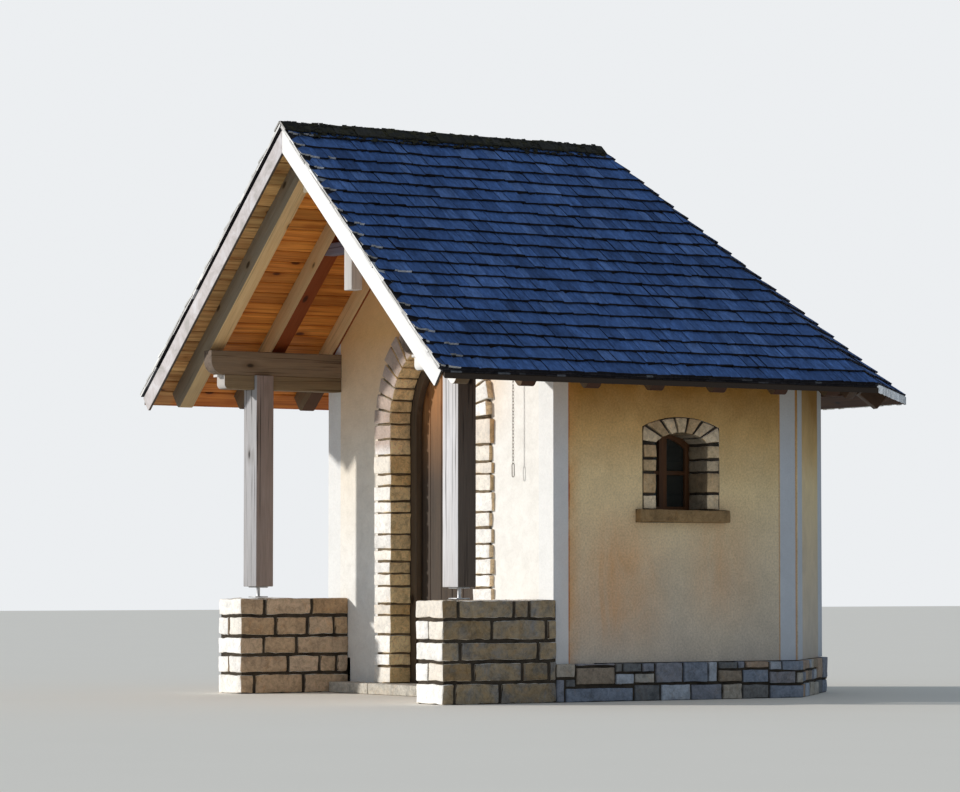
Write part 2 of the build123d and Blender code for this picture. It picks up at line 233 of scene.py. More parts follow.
def rafter_zones(s, colour):
    """Pale first rafters whose grey fronts are painted shade from the bargeboard, red-brown undersides
    further in, painted shade on the tails on the right with painted sunlight on the first one's front, and
    darker tails on the left.
    """
    x, along = s.spot()[:2]
    ny, nz = s.facing()[1:]
    first, tail = s.step(along, -0.80, -0.84), s.step(x, 1.36, 1.42)
    front = (ny < -0.5) * first
    far_tail = s.step(x, -1.40, -1.62) * (0.85 - first * 0.5)
    # painted shade from the bargeboard on the first rafter's front faces
    colour = s.tone(colour, ((nz < -0.3) * (1 - first), (0.32, 0.10, 0.042)), (front, (0.42, 0.50, 0.70)))
    # painted shade on the right tails, and painted sunlight on the front of the first one
    return s.cover(colour, (tail * 0.9, (0.050, 0.030, 0.020)), (front * tail, (0.93, 0.92, 0.90)),
                   (far_tail, (0.075, 0.055, 0.040)))


def barge_zones(s, colour):
    """White faces, of which the left one has weathered pinkish grey, above dark undersides that are painted
    shade.
    """
    left = s.spot()[0] < 0.0
    worn = s.noise(s.place(), 9.0, 5.0, 0.7, 0.8)
    worn = s.ramp(worn, (0.30, (0.36, 0.34, 0.32)), (0.50, (0.54, 0.49, 0.49)), (0.70, (0.68, 0.66, 0.68)))
    return s.cover(colour, ((1 - left) * 0.75, (0.92, 0.91, 0.90)), (left * 0.85, worn),
                   # painted shade on the undersides
                   (s.facing()[2] < -0.3, (0.09, 0.075, 0.06)))


def door_zones(s, colour):
    """Red brown and lighter towards the arch, and grey brown towards the foot."""
    z = s.spot()[2]
    high, low = s.step(z, 1.40, 1.95), s.step(z, 1.90, 1.3)
    return s.tone(colour, (high, (2.7, 2.0, 1.1)), (low, (0.57, 0.70, 0.84)))


def post_zones(s, colour):
    """Painted light on the fronts, strongest on the right post, and painted shade on the sides, deepest on
    the right post, which stays in the shade.
    """
    nx, ny = s.facing()[:2]
    front, side, right = ny < -0.5, nx > 0.5, s.spot()[0] > 0.0
    # painted light on the fronts and painted shade on the sides
    return s.tone(colour, (front, (1.12, 1.14, 1.19)), (front * right, (1.38, 1.38, 1.38)),
                  (side, (0.87, 0.72, 0.66)), (side * right, (0.32, 0.31, 0.28)))


def beam_zones(s, colour):
    """Bleached grey ends of the porch beams, with the right one painted near white as sunlight, for it stands
    in full light.
    """
    # the right end's near white is painted sunlight over the bleached grey
    bleached_and_sunlit = s.mix(s.spot()[0] > 0.0, (0.55, 0.52, 0.50), (0.93, 0.92, 0.90))
    return s.cover(colour, (s.step(s.facing()[1], -0.35, -0.6) * 0.85, bleached_and_sunlit))


def purlin_zones(s, colour):
    """Ends of the eave purlins darkened with painted shade, most on the right."""
    end = s.step(s.facing()[1], -0.35, -0.6)
    # painted shade on the purlin ends
    return s.tone(colour, (end, (0.75, 0.80, 0.95)), (end * (s.spot()[0] > 0.0), (0.35, 0.32, 0.30)))


def lime_zones(s, colour):
    """Ochre door reveals and outer sides of the jamb stones in painted warm bounce light, painted light on
    the sunlit fronts, and painted shade on the faces and joints that stay in the shade.
    """
    x, along, z = s.spot()
    nx, ny, nz = s.facing()
    wide, front, side, under = abs(x), ny < -0.5, nx > 0.5, nz < -0.3
    porch, window, right = along < 0.0, along > 0.5, side * (x > 1.3)
    reveal = ((abs(nx) > 0.5) | under) * (wide < 0.60)
    # painted shade on the right porch wall's side
    hue = s.ramp(s.noise(s.place(), 7.0, 5.0, 0.7, 0.5), (0.38, (0.31, 0.305, 0.31)),
                 (0.48, (0.40, 0.345, 0.27)), (0.60, (0.46, 0.36, 0.235)))
    # painted shade in the joints of the porch walls' fronts
    joints = front * porch * (along > -0.80) * (wide > 0.8)
    sunlit = front * (1 - window) * ((along < -0.80) | (wide < 0.75))
    # painted shade of the porch roof on the upper left of the door's stones
    arch = s.step(x, 0.25, 0.05) * s.step(z, 1.56, 1.66)
    # painted warm bounce light on the reveals and the jamb stones' outer sides, painted shade on the right
    # side's stones, and painted light on the sunlit fronts
    colour = s.tone(colour, (reveal, (1.10, 0.92, 0.60)), (right * porch, hue), (joints, (0.25, 0.22, 0.19)),
                    (right * (1 - porch), (0.88, 0.75, 0.57)),
                    (side * x.near(STONE_R, 0.08), (1.05, 0.86, 0.62)), (sunlit, (1.05, 1.07, 1.12)))
    colour = s.cover(colour, (sunlit * 0.38, (0.97, 0.955, 0.925)))
    # painted shade on the window stones' fronts and undersides, on the upper left of the door's stones and on
    # the left porch wall's inner side
    return s.tone(colour, ((front | under) * window, (0.42, 0.37, 0.30)), (sunlit * arch, (0.56, 0.46, 0.41)),
                  (side * (x < -1.0), (0.68, 0.53, 0.40)))


# Materials
def wood(name, pale, dark, knots, grey=None, grey_share=0.0, rough=0.65, depth=0.0012, cracks=0.3,
         zones=None):
    """Sawn or weathered wood whose grain follows the piece's own length."""
    s = Shader(name, rough, 0.2)
    grain = s.attr("grain", "Vector")
    wide = s.noise(grain, (0.9, 9, 9), 4.0, 0.6, 0.8)
    rings = s.noise(grain, (1.6, 46, 46), 5.0, 0.6, 0.5)
    fine = s.noise(grain, (7, 330, 330), 2.0, 0.6)
    colour = s.ramp(rings, (0.28, dark), (0.62, pale))
    colour = s.cover(colour, (s.ramp(wide, (0.35, 0.0), (0.75, 0.6)), dark))
    if grey:
        patch = s.noise(grain, (1.1, 6, 6), 3.0, 0.6, offset=(3, 1, 2))
        share = s.ramp(patch, (0.3, grey_share * 0.5), (0.7, grey_share))
        colour = s.mix(share, colour, s.mix(fine, [c * 0.8 for c in grey], [c * 1.15 for c in grey]))
    colour = s.tone(colour, (0.35, s.ramp(fine, (0.3, 0.55), (0.7, 1.0))))
    split = s.ramp(s.noise(grain, (1.3, 62, 62), 2.0, 0.5, 0.2, (9, 4, 1)), (0.60, 0.0), (0.67, 1.0)) * cracks
    black = [c * 0.25 for c in dark]
    cells = s.node("TexVoronoi", {"Vector": s.node("Mapping", {0: grain, 3: (4.5, 9.5, 9.5)}), "Scale": 1.0})
    pick = s.axes(Value(s.tree, cells.socket.node.outputs["Color"]))[0] > 1 - 0.55 * knots
    colour = s.cover(colour, (split, black), (s.ramp(cells, (0.15, 0.7), (0.42, 0.0)) * pick, dark),
                     (s.ramp(cells, (0.12, 1.0), (0.19, 0.0)) * pick, black))
    colour = s.tone(colour, (1.0, s.ramp(s.attr("tint"), (0.0, 0.74), (0.5, 0.98), (1.0, 1.22))))
    if zones:
        colour = zones(s, colour)
    return s.finish(colour, rings * 0.6 + fine * 0.3 - split, 0.7, depth)


def stone(name, colours, speck, depth, zones=None):
    """Dressed stone with its own colour per block, mottling, pits and a broken face."""
    s = Shader(name, 0.88, 0.2)
    place = s.node("VectorMath", {0: s.place(), 1: s.attr("grain", "Vector")}, operation="ADD")
    colour = s.ramp(s.attr("tint"), *[(i / (len(colours) - 1), colour) for i, colour in enumerate(colours)])
    cloud = s.ramp(s.noise(place, 9.0, 6.0, 0.7, 0.6), (0.30, 0.68), (0.50, 1.0), (0.72, 1.16))
    rust = s.ramp(s.noise(place, 11.0, 4.0, 0.7, 1.2), (0.54, 0.0), (0.72, 0.45))
    blotch = s.ramp(s.noise(place, 30.0, 5.0, 0.7, 0.8), (0.36, 0.70), (0.50, 1.0), (0.66, 1.18))
    grain = s.noise(place, 140.0, 3.0, 0.6)
    pit = s.ramp(s.node("TexVoronoi", {"Vector": place, "Scale": 75.0}), (0.06, 1.0), (0.2, 0.0))
    colour = s.tone(colour, (1.0, cloud), (rust, (1.05, 0.80, 0.55)), (0.9, blotch),
                    (0.4, s.ramp(grain, (0.35, 0.74), (0.65, 1.10))))
    colour = s.cover(colour, (pit * 0.4, speck))
    if zones:
        colour = zones(s, colour)
    return s.finish(colour, s.noise(place, 26.0, 6.0, 0.65, 0.4) + grain * 0.12 - pit * 0.12, 0.85, depth)


def mortar(name, pale, dark):
    """Coarse lime mortar between stones."""
    s = Shader(name, 0.95, 0.15)
    place = s.place()
    sand = s.noise(place, 260.0, 3.0, 0.7)
    colour = s.ramp(s.noise(place, 9.0, 4.0, 0.6), (0.3, dark), (0.7, pale))
    colour = s.tone(colour, (0.5, s.ramp(sand, (0.3, 0.6), (0.7, 1.15))))
    return s.finish(colour, sand + s.noise(place, 40.0, 4.0, 0.7), 0.8, 0.003)


def plaster():
    """Lime plaster: white front, ochre sides framed by white bands, white inside."""
    s = Shader("plaster", 0.92, 0.15)
    place = s.place()
    x, along, z = s.spot()
    wide = s.noise(place, 1.7, 5.0, 0.6, 0.3)
    trowel = s.noise(place, 11.0, 5.0, 0.62, 0.5)
    grit = s.noise(place, 75.0, 4.0, 0.7)
    # From the foot to the eave the ochre runs from grey to dark brown: painted sky light below, and painted
    # shade with warm bounce light under the eave, over the plaster's own ochre
    level = s.step(z, 0.24, 2.10) + (wide - 0.5) * 0.22
    ochre = s.ramp(level, (0.0, (0.66, 0.57, 0.475)), (0.35, (0.81, 0.64, 0.43)), (0.60, (0.93, 0.71, 0.395)),
                   (0.78, (0.76, 0.49, 0.20)), (0.94, (0.40, 0.195, 0.038)))
    ochre = s.tone(ochre, (1.0, s.ramp(s.noise(place, 3.6, 5.0, 0.65, 0.6), (0.3, 0.90), (0.7, 1.07))),
                   (s.step(along, 0.6, 1.9), (0.90, 0.93, 0.96)))
    white = s.ramp(trowel, (0.3, (0.83, 0.81, 0.77)), (0.7, (0.88, 0.865, 0.83)))
    # painted warm bounce light on the shaded front wall left of the door
    white = s.tone(white, (s.step(x, -0.65, -0.75) * s.step(z, 0.8, 1.6), (1.0, 0.93, 0.83)))
    # painted warm bounce light on the gable under the porch roof
    white = s.cover(white, (s.step(z, 1.60, 2.40) * s.step(x, 0.95, 0.60), (0.82, 0.51, 0.225)))
    band = s.ramp(wide, (0.3, (0.70, 0.69, 0.69)), (0.7, (0.78, 0.77, 0.765)))
    # painted warm light on the bands under the eave; the bands are also darker and cooler towards the apse
    band = s.tone(band, (s.step(z, 1.5, 2.1), (0.95, 0.86, 0.72)),
                  (s.step(along, 0.5, 1.7), (0.80, 0.85, 0.92)))

    side, apse = abs(x) > WALL - 0.002, along > 1.886
    outer = side | apse
    corner, rear = along < 0.111, (along > 1.745) * (along < 1.868)
    edge = along + (trowel - 0.5) * 0.008
    rust_lines = edge.near(1.739, 0.005) | edge.near(1.873, 0.007)
    u, v = abs(x), along - APSE
    near_back = abs(abs((v - u) * DIAGONAL) - 0.58) < 0.20
    apse_bands = {0: v < WALL - 0.003, 2: u > WALL * OCT - 0.13, 3: near_back}
    patchy = s.ramp(s.noise(place, (4, 4, 3), 4.0, 0.65), (0.35, 0.25), (0.62, 1.0))
    stain = s.ramp(s.noise(place, (5.0, 5.0, 1.6), 5.0, 0.65, 0.8), (0.32, 0.30), (0.68, 1.0))

    def run(middle, half, top, foot):
        """Share of a stain that runs down the wall below one end of the sill."""
        fade = s.step(z, top, top - 0.35) * s.step(z, foot, foot + 0.3)
        return s.step(abs(along - middle), half, half * 0.1) * fade

    runs = (run(0.45, 0.46, 1.25, 0.26) * 0.62 + run(1.29, 0.32, 1.35, 0.40) * 0.42).clamped()
    colour = s.cover(ochre, (apse * s.node("Mix", apse_bands, data_type="FLOAT"), band), (side * rear, band),
                     (side * rust_lines * 0.6, (0.55, 0.27, 0.10)),
                     (side * s.step(along, 0.21, 0.115) * patchy * 0.75, (0.72, 0.34, 0.10)),
                     (side * (edge < 0.121) * patchy, (0.50, 0.15, 0.05)), (side * corner, band),
                     (1 - outer, white), ((along < 0.001) * (u > 1.235), (0.83, 0.83, 0.82)),
                     (stain * side * runs, (0.80, 0.36, 0.11)))
    bare = side * (1 - (corner | rear))
    colour = s.tone(colour, (0.3, s.ramp(trowel, (0.3, 0.86), (0.6, 1.03))),
                    (bare * 0.40 + 0.12, s.ramp(grit, (0.34, 0.68), (0.62, 1.16))),
                    (s.step(z, 0.5, 0.24) * outer * 0.25, (0.62, 0.6, 0.58)))
    return s.finish(colour, trowel + grit * 0.5 + s.noise(place, 210.0, 3.0, 0.65) * 0.18, 0.75, 0.006)


def shingle_material(name, stops, moss=0.0):
    """Split wooden shingles, weathered grey with a painted reflection of the blue sky, with a colour per
    shingle.
    """
    s = Shader(name, 0.75, 0.08)
    grain = s.attr("grain", "Vector")
    place = s.place()
    fibre = s.noise(grain, (5, 170, 170), 4.0, 0.65, 0.3)
    wide = s.noise(grain, (4, 26, 26), 3.0, 0.6)
    patch = s.noise(place, 1.6, 4.0, 0.6, 0.5)
    colour = s.tone(s.ramp(s.attr("tint"), *stops), (1.0, s.ramp(fibre, (0.28, 0.45), (0.72, 1.55))),
                    (1.0, s.ramp(wide, (0.3, 0.70), (0.7, 1.3))),
                    (1.0, s.ramp(patch, (0.3, 0.82), (0.7, 1.14))))
    if moss:
        clump = s.ramp(s.noise(place, 14.0, 6.0, 0.7, 0.5), (0.45, 0.0), (0.6, moss))
        green = s.noise(place, 60.0, 3.0, 0.6)
        green = s.ramp(green, (0.3, (0.018, 0.016, 0.010)), (0.7, (0.07, 0.062, 0.03)))
        colour = s.cover(colour, (clump, green))
    return s.finish(colour, fibre * 0.5 + wide, 0.8, 0.0025)


def metal(name, colour, rough, share, worn):
    """Plain metal with worn patches."""
    s = Shader(name, rough, 0.5)
    s.bsdf.inputs["Metallic"].default_value = share
    cloud = s.noise(s.place(), 45.0, 5.0, 0.65)
    paint = s.mix(s.ramp(cloud, (0.52, 0.0), (0.68, 0.5)), colour, worn)
    return s.finish(paint, s.noise(s.place(), 180.0, 4.0, 0.6), 0.5, 0.0008,
                    s.ramp(cloud, (0.3, rough - 0.1), (0.7, rough + 0.2)))


def glass():
    s = Shader("window_glass", 0.08, 0.35)
    s.bsdf.inputs["Transmission Weight"].default_value = 0.55
    s.bsdf.inputs["IOR"].default_value = 1.45
    dust = s.noise(s.place(), 6.0, 4.0, 0.6)
    return s.finish(s.ramp(dust, (0.3, (0.045, 0.050, 0.045)), (0.7, (0.085, 0.09, 0.08))), dust, 0.15, 0.004)


M = {
    "plaster": plaster(),
    "lime": stone("limestone", [(0.62, 0.50, 0.365), (0.74, 0.65, 0.51), (0.90, 0.86, 0.79),
                                (0.80, 0.73, 0.62), (0.93, 0.905, 0.86), (0.74, 0.69, 0.62),
                                (0.92, 0.88, 0.80)], (0.20, 0.17, 0.13), 0.006, lime_zones),
    "rubble": stone("rubble_stone", [(0.17, 0.175, 0.18), (0.32, 0.25, 0.18), (0.23, 0.262, 0.325),
                                     (0.43, 0.47, 0.535), (0.44, 0.40, 0.34), (0.42, 0.31, 0.23),
                                     (0.24, 0.25, 0.29)], (0.07, 0.07, 0.06), 0.007),
    "sill": stone("sill_stone", [(0.28, 0.175, 0.080), (0.34, 0.22, 0.105)], (0.14, 0.10, 0.06), 0.003),
    "flag": stone("flagstone", [(0.50, 0.47, 0.41), (0.58, 0.54, 0.47), (0.46, 0.44, 0.40)],
                  (0.18, 0.16, 0.13), 0.002),
    # the mortar's near black is painted shade in the recessed joints
    "mortar": mortar("mortar", (0.095, 0.076, 0.056), (0.032, 0.025, 0.019)),
    "pointing": mortar("pointing", (0.26, 0.20, 0.13), (0.09, 0.065, 0.042)),
    # the strong blue of the shingles is a painted reflection of the sky on weathered grey wood
    "shingle": shingle_material("shingles", [(0.0, (0.044, 0.088, 0.215)), (0.3, (0.060, 0.122, 0.300)),
                                             (0.6, (0.075, 0.150, 0.360)), (0.84, (0.108, 0.192, 0.420))],
                                0.10),
    # most shingle edges are near black, painted shade on the butts; the pale top of the ramp is for a few
    # light edges
    "butt": shingle_material("shingle_edges", [(0.0, (0.013, 0.012, 0.015)), (0.86, (0.028, 0.025, 0.028)),
                                               (0.92, (0.16, 0.17, 0.19)), (1.0, (0.55, 0.56, 0.59))]),
    "verge": shingle_material("shingle_ends", [(0.0, (0.42, 0.405, 0.39)), (1.0, (0.84, 0.83, 0.81))]),
    "slat": shingle_material("eave_slats", [(0.0, (0.66, 0.67, 0.69)), (1.0, (0.98, 0.98, 0.98))]),
    "ridge": shingle_material("ridge_boards", [(0.0, (0.020, 0.020, 0.018)), (1.0, (0.045, 0.042, 0.036))],
                              0.95),
    "pine": wood("pine_boards", (0.95, 0.39, 0.078), (0.46, 0.125, 0.018), 1.0, rough=0.5,
                 zones=soffit_zones),
    "tan": wood("rafter_wood", (0.98, 0.72, 0.37), (0.80, 0.50, 0.22), 0.45, (0.92, 0.72, 0.44), 0.4,
                zones=rafter_zones),
    "tail": wood("tail_wood", (0.13, 0.065, 0.030), (0.07, 0.032, 0.018), 0.2, (0.10, 0.075, 0.055), 0.5),
    "grey": wood("weathered_wood", (0.47, 0.44, 0.42), (0.29, 0.265, 0.245), 0.45, (0.55, 0.535, 0.53), 0.8,
                 0.8, 0.0022, 0.75, post_zones),
    "beam": wood("purlin_wood", (0.245, 0.165, 0.095), (0.135, 0.086, 0.050), 0.3, (0.245, 0.185, 0.13), 0.6,
                 0.75, 0.0022, 0.6, purlin_zones),
    "low_beam": wood("beam_wood", (0.31, 0.215, 0.115), (0.172, 0.113, 0.060), 0.3, (0.31, 0.235, 0.145), 0.6,
                     0.75, 0.0022, 0.6, beam_zones),
    "collar": wood("collar_wood", (0.18, 0.162, 0.20), (0.112, 0.096, 0.12), 0.2, (0.225, 0.218, 0.276), 0.7,
                   0.75, 0.0022, 0.6),
    "white": wood("pale_board", (0.80, 0.78, 0.76), (0.62, 0.58, 0.56), 0.15, (0.84, 0.825, 0.82), 0.8, 0.7,
                  0.001, 0.25, barge_zones),
    "post_white": wood("king_post_wood", (0.66, 0.63, 0.60), (0.46, 0.42, 0.38), 0.15, (0.76, 0.74, 0.73),
                       0.8, 0.7, 0.001, 0.25),
    "door": wood("door_wood", (0.185, 0.095, 0.050), (0.10, 0.050, 0.028), 0.4, (0.15, 0.115, 0.085), 0.5,
                 0.5, zones=door_zones),
    "frame": wood("frame_wood", (0.13, 0.085, 0.050), (0.07, 0.045, 0.030), 0.3, (0.12, 0.095, 0.07), 0.6,
                  0.5),
    "sash": wood("sash_wood", (0.135, 0.057, 0.022), (0.072, 0.031, 0.013), 0.2, rough=0.45),
    "iron": metal("forged_iron", (0.045, 0.043, 0.042), 0.5, 0.8, (0.10, 0.055, 0.035)),
    "steel": metal("galvanised_steel", (0.50, 0.50, 0.51), 0.42, 0.9, (0.36, 0.35, 0.34)),
    "chain": metal("chain_steel", (0.23, 0.205, 0.18), 0.5, 0.6, (0.16, 0.10, 0.06)),
    "glass": glass(),
}


# Mesh building
def at(x, y, z):
    """Place in the frame, with y counted from the front wall's face and nothing below the ground."""
    return Vector((x, y + FRONT, max(z, 0.0)))


def frame_of(along, across):
    """Matrix that turns a place into lengths along, across and through a piece."""
    a = Vector(along).normalized()
    b = (Vector(across) - a * a.dot(Vector(across))).normalized()
    return Matrix((a, b, a.cross(b)))


X, Y, Z = (1, 0, 0), (0, 1, 0), (0, 0, 1)
ALONG_X, ALONG_Y, ALONG_Z = frame_of(X, Z), frame_of(Y, Z), frame_of(Z, X)


def scattered(dice, reach):
    return Vector([dice.uniform(0, reach) for axis in range(3)])


def show(mesh, name, body, replaced, smooth):
    """Add a mesh to the scene as a piece of one body, for the CAD nodes that it replaces."""
    if smooth:
        mesh.shade_smooth()
        mesh.set_sharp_from_angle(angle=radians(smooth))
    made = bpy.data.objects.new(name, mesh)
    scene.collection.objects.link(made)
    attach(made, body)
    if replaced:
        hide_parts(*replaced)


class Soup:
    """Many separate blocks gathered into one mesh, each with its own tint and grain direction."""

    def __init__(self, seed):
        self.verts, self.faces, self.tints, self.grains, self.slots = [], [], [], [], []
        self.dice = random.Random(seed)

    def add(self, verts, faces, tint=None, grain=None, slot=0):
        start = len(self.verts)
        tint = self.dice.random() if tint is None else tint
        shift = scattered(self.dice, 40)
        self.verts += verts
        self.faces += [[start + i for i in face] for face in faces]
        self.slots += [slot] * len(faces) if isinstance(slot, int) else slot
        self.tints += [tint] * len(verts)
        self.grains += [shift + (grain @ v if grain else Vector()) for v in verts]

    def build(self, name, materials, slot, body="chapel", replaced=(), smooth=None):
        mesh = bpy.data.meshes.new(name)
        mesh.from_pydata([tuple(v) for v in self.verts], [], self.faces)
        for material in materials:
            mesh.materials.append(M[material])
        mesh.polygons.foreach_set("material_index", self.slots)
        mesh.attributes.new("tint", "FLOAT", "POINT").data.foreach_set("value", self.tints)
        grains = [c for v in self.grains for c in v]
        mesh.attributes.new("grain", "FLOAT_VECTOR", "POINT").data.foreach_set("vector", grains)
        mesh.update()
        bm = bmesh.new()
        bm.from_mesh(mesh)
        bmesh.ops.recalc_face_normals(bm, faces=bm.faces)
        bm.to_mesh(mesh)
        bm.free()
        show(mesh, name, body, replaced, smooth)


def rounded(soup, low, high, radius, step, rough=0.0, place=at, tint=None, grain=None, freq=13.0, warp=0.0):
    """Block with rounded edges and an uneven surface, placed through a mapping."""
    low, high = Vector(low), Vector(high)
    middle, half = (low + high) / 2, (high - low) / 2
    radius = min(radius, min(half) * 0.9)
    lines = []
    for h in half:
        inner = h - radius
        count = max(1, min(14, round(2 * inner / step)))
        lines.append([-h] + [-inner + 2 * inner * i / count for i in range(count + 1)] + [h])
    verts, index, faces = [], {}, []
    shift = scattered(soup.dice, 99)

    def corner(*key):
        if key not in index:
            p = Vector([line[i] for line, i in zip(lines, key)])
            q = Vector([max(-(h - radius), min(h - radius, c)) for c, h in zip(p, half)])
            out = (p - q).normalized()
            n = noise.noise((p + shift) * freq) * 0.65 + noise.noise((p + shift) * freq * 3) * 0.35
            p = q + out * radius + out * rough * (n - 0.45)
            if warp:
                p += noise.noise_vector((p + shift) * 6.0) * warp
            index[key] = len(verts)
            verts.append(place(*(middle + p)))
        return index[key]

    counts = [len(line) - 1 for line in lines]
    for axis in range(3):
        a, b = [n for n in range(3) if n != axis]
        for end in (0, counts[axis]):
            for i in range(counts[a]):
                for j in range(counts[b]):
                    ring = []
                    for di, dj in ((0, 0), (1, 0), (1, 1), (0, 1)):
                        key = [0, 0, 0]
                        key[axis], key[a], key[b] = end, i + di, j + dj
                        ring.append(corner(*key))
                    faces.append(ring)
    soup.add(verts, faces, tint, grain)


def sides(count, start=0):
    """Faces between one ring of points and the next."""
    return [[start + i, start + (i + 1) % count, start + count + (i + 1) % count, start + count + i]
            for i in range(count)]


def prism(outline, levels, place):
    """Solid through several copies of an outline, one per level, closed at both ends."""
    count = len(outline)
    verts = [place(p, level) for level in levels for p in outline]
    faces = [list(range(count))[::-1], [count * (len(levels) - 1) + i for i in range(count)]]
    for ring in range(len(levels) - 1):
        faces += sides(count, ring * count)
    return verts, faces


def bent_caps(steps):
    """End faces of an arch whose outline runs along its outer arc and back along its inner one."""
    count = 2 * steps + 2
    faces = []
    for i in range(steps):
        j = count - 1 - i
        faces += [[i, i + 1, j - 1, j], [count + i, count + j, count + j - 1, count + i + 1]]
    return faces


def clip(outline, region):
    """Part of an outline inside a convex region, both as (t, s) pairs; the region runs counterclockwise."""
    for (ax, ay), (bx, by) in zip(region, region[1:] + region[:1]):
        kept = []
        for (px, py), (qx, qy) in zip(outline, outline[1:] + outline[:1]):
            p_side = (bx - ax) * (py - ay) - (by - ay) * (px - ax)
            q_side = (bx - ax) * (qy - ay) - (by - ay) * (qx - ax)
            if p_side >= 0:
                kept.append((px, py))
            if p_side * q_side < 0:
                share = p_side / (p_side - q_side)
                kept.append((px + (qx - px) * share, py + (qy - py) * share))
        outline = kept
        if len(outline) < 3:
            return []
    return outline


def area(outline):
    pairs = zip(outline, outline[1:] + outline[:1])
    return abs(sum(ax * by - bx * ay for (ax, ay), (bx, by) in pairs)) / 2


def islands(bm):
    """Separate solids of a mesh, as lists of their points, in the same order on each run."""
    todo = dict.fromkeys(bm.verts)
    while todo:
        first = next(iter(todo))
        del todo[first]
        island, queue = [], [first]
        while queue:
            vert = queue.pop()
            island.append(vert)
            for edge in vert.link_edges:
                other = edge.other_vert(vert)
                if other in todo:
                    del todo[other]
                    queue.append(other)
        yield island


def dress(node, material, along, across=Z, bevel=0.004, body="chapel", seed=1, nose=0.0):
    """Copy of a CAD node with softened edges, and with a tint and a grain direction for each solid."""
    bm = bmesh.new()
    bm.from_mesh(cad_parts[node].data)
    bmesh.ops.remove_doubles(bm, verts=bm.verts, dist=1e-5)
    bmesh.ops.dissolve_limit(bm, angle_limit=radians(1), verts=bm.verts, edges=bm.edges)
    if nose:
        reach = max(abs(v.co.x) for v in bm.verts) - 0.14
        ends = [e for e in bm.edges if all(abs(v.co.x) > reach for v in e.verts)]
        bmesh.ops.bevel(bm, geom=ends, offset=nose, segments=4, affect="EDGES", profile=0.5,
                        clamp_overlap=True)
    sharp = [e for e in bm.edges if len(e.link_faces) == 2 and e.calc_face_angle(0) > radians(25)]
    bmesh.ops.bevel(bm, geom=sharp, offset=bevel, segments=2, affect="EDGES", profile=0.6, clamp_overlap=True)
    bmesh.ops.recalc_face_normals(bm, faces=bm.faces)
    tint = bm.verts.layers.float.new("tint")
    grain = bm.verts.layers.float_vector.new("grain")
    dice = random.Random(seed)
    for island in islands(bm):
        centre = sum((v.co for v in island), Vector()) / len(island)
        turn = frame_of(along(centre) if callable(along) else along, across)
        shift = scattered(dice, 30)
        shade = dice.random()
        for vert in island:
            vert[tint] = shade
            vert[grain] = turn @ vert.co + shift
    mesh = bpy.data.meshes.new(node + "_dressed")
    bm.to_mesh(mesh)
    bm.free()
    mesh.materials.append(M[material])
    show(mesh, mesh.name, body, [node], 32)


# Roof
def roof_face(turn):
    """Place on a roof face from its distance along (t), down the slope (s) and above the shingles (h)."""
    down = Vector((cos(turn) * cos(PITCH), sin(turn) * cos(PITCH), -sin(PITCH)))
    side = Vector((-sin(turn), cos(turn), 0))
    up = Vector((cos(turn) * sin(PITCH), sin(turn) * sin(PITCH), cos(PITCH)))
    top = at(0, APSE, APEX)

    def place(t, s, h):
        return top + side * t + down * s + up * h

    return place, Matrix((down, side, up))


def face_region(turn, front, foot=SLOPE):
    """Outline of a roof face in (t, s), counterclockwise, with its front end at a length from the wall."""
    half = foot * cos(PITCH) * OCT
    reach = APSE - front
    if turn == 0:
        return [(-reach, 0), (0, 0), (half, foot), (-reach, foot)]
    if turn == pi:
        return [(0, 0), (reach, 0), (reach, foot), (-half, foot)]
    return [(0, 0), (half, foot), (-half, foot)]


def on_roof(place, t, s, h):
    """Place on a roof face, kept inside the upright plane of the eave and below the ridge cap's top."""
    spot = place(t, min(s, (EAVE_PLANE - h * sin(PITCH)) / cos(PITCH)), h)
    spot.x = max(-EAVE_PLANE, min(EAVE_PLANE, spot.x))
    spot.y = max(FRONT + VERGE, min(FRONT + APSE + EAVE_PLANE, spot.y))
    spot.z = min(spot.z, HIGHEST)
    return spot


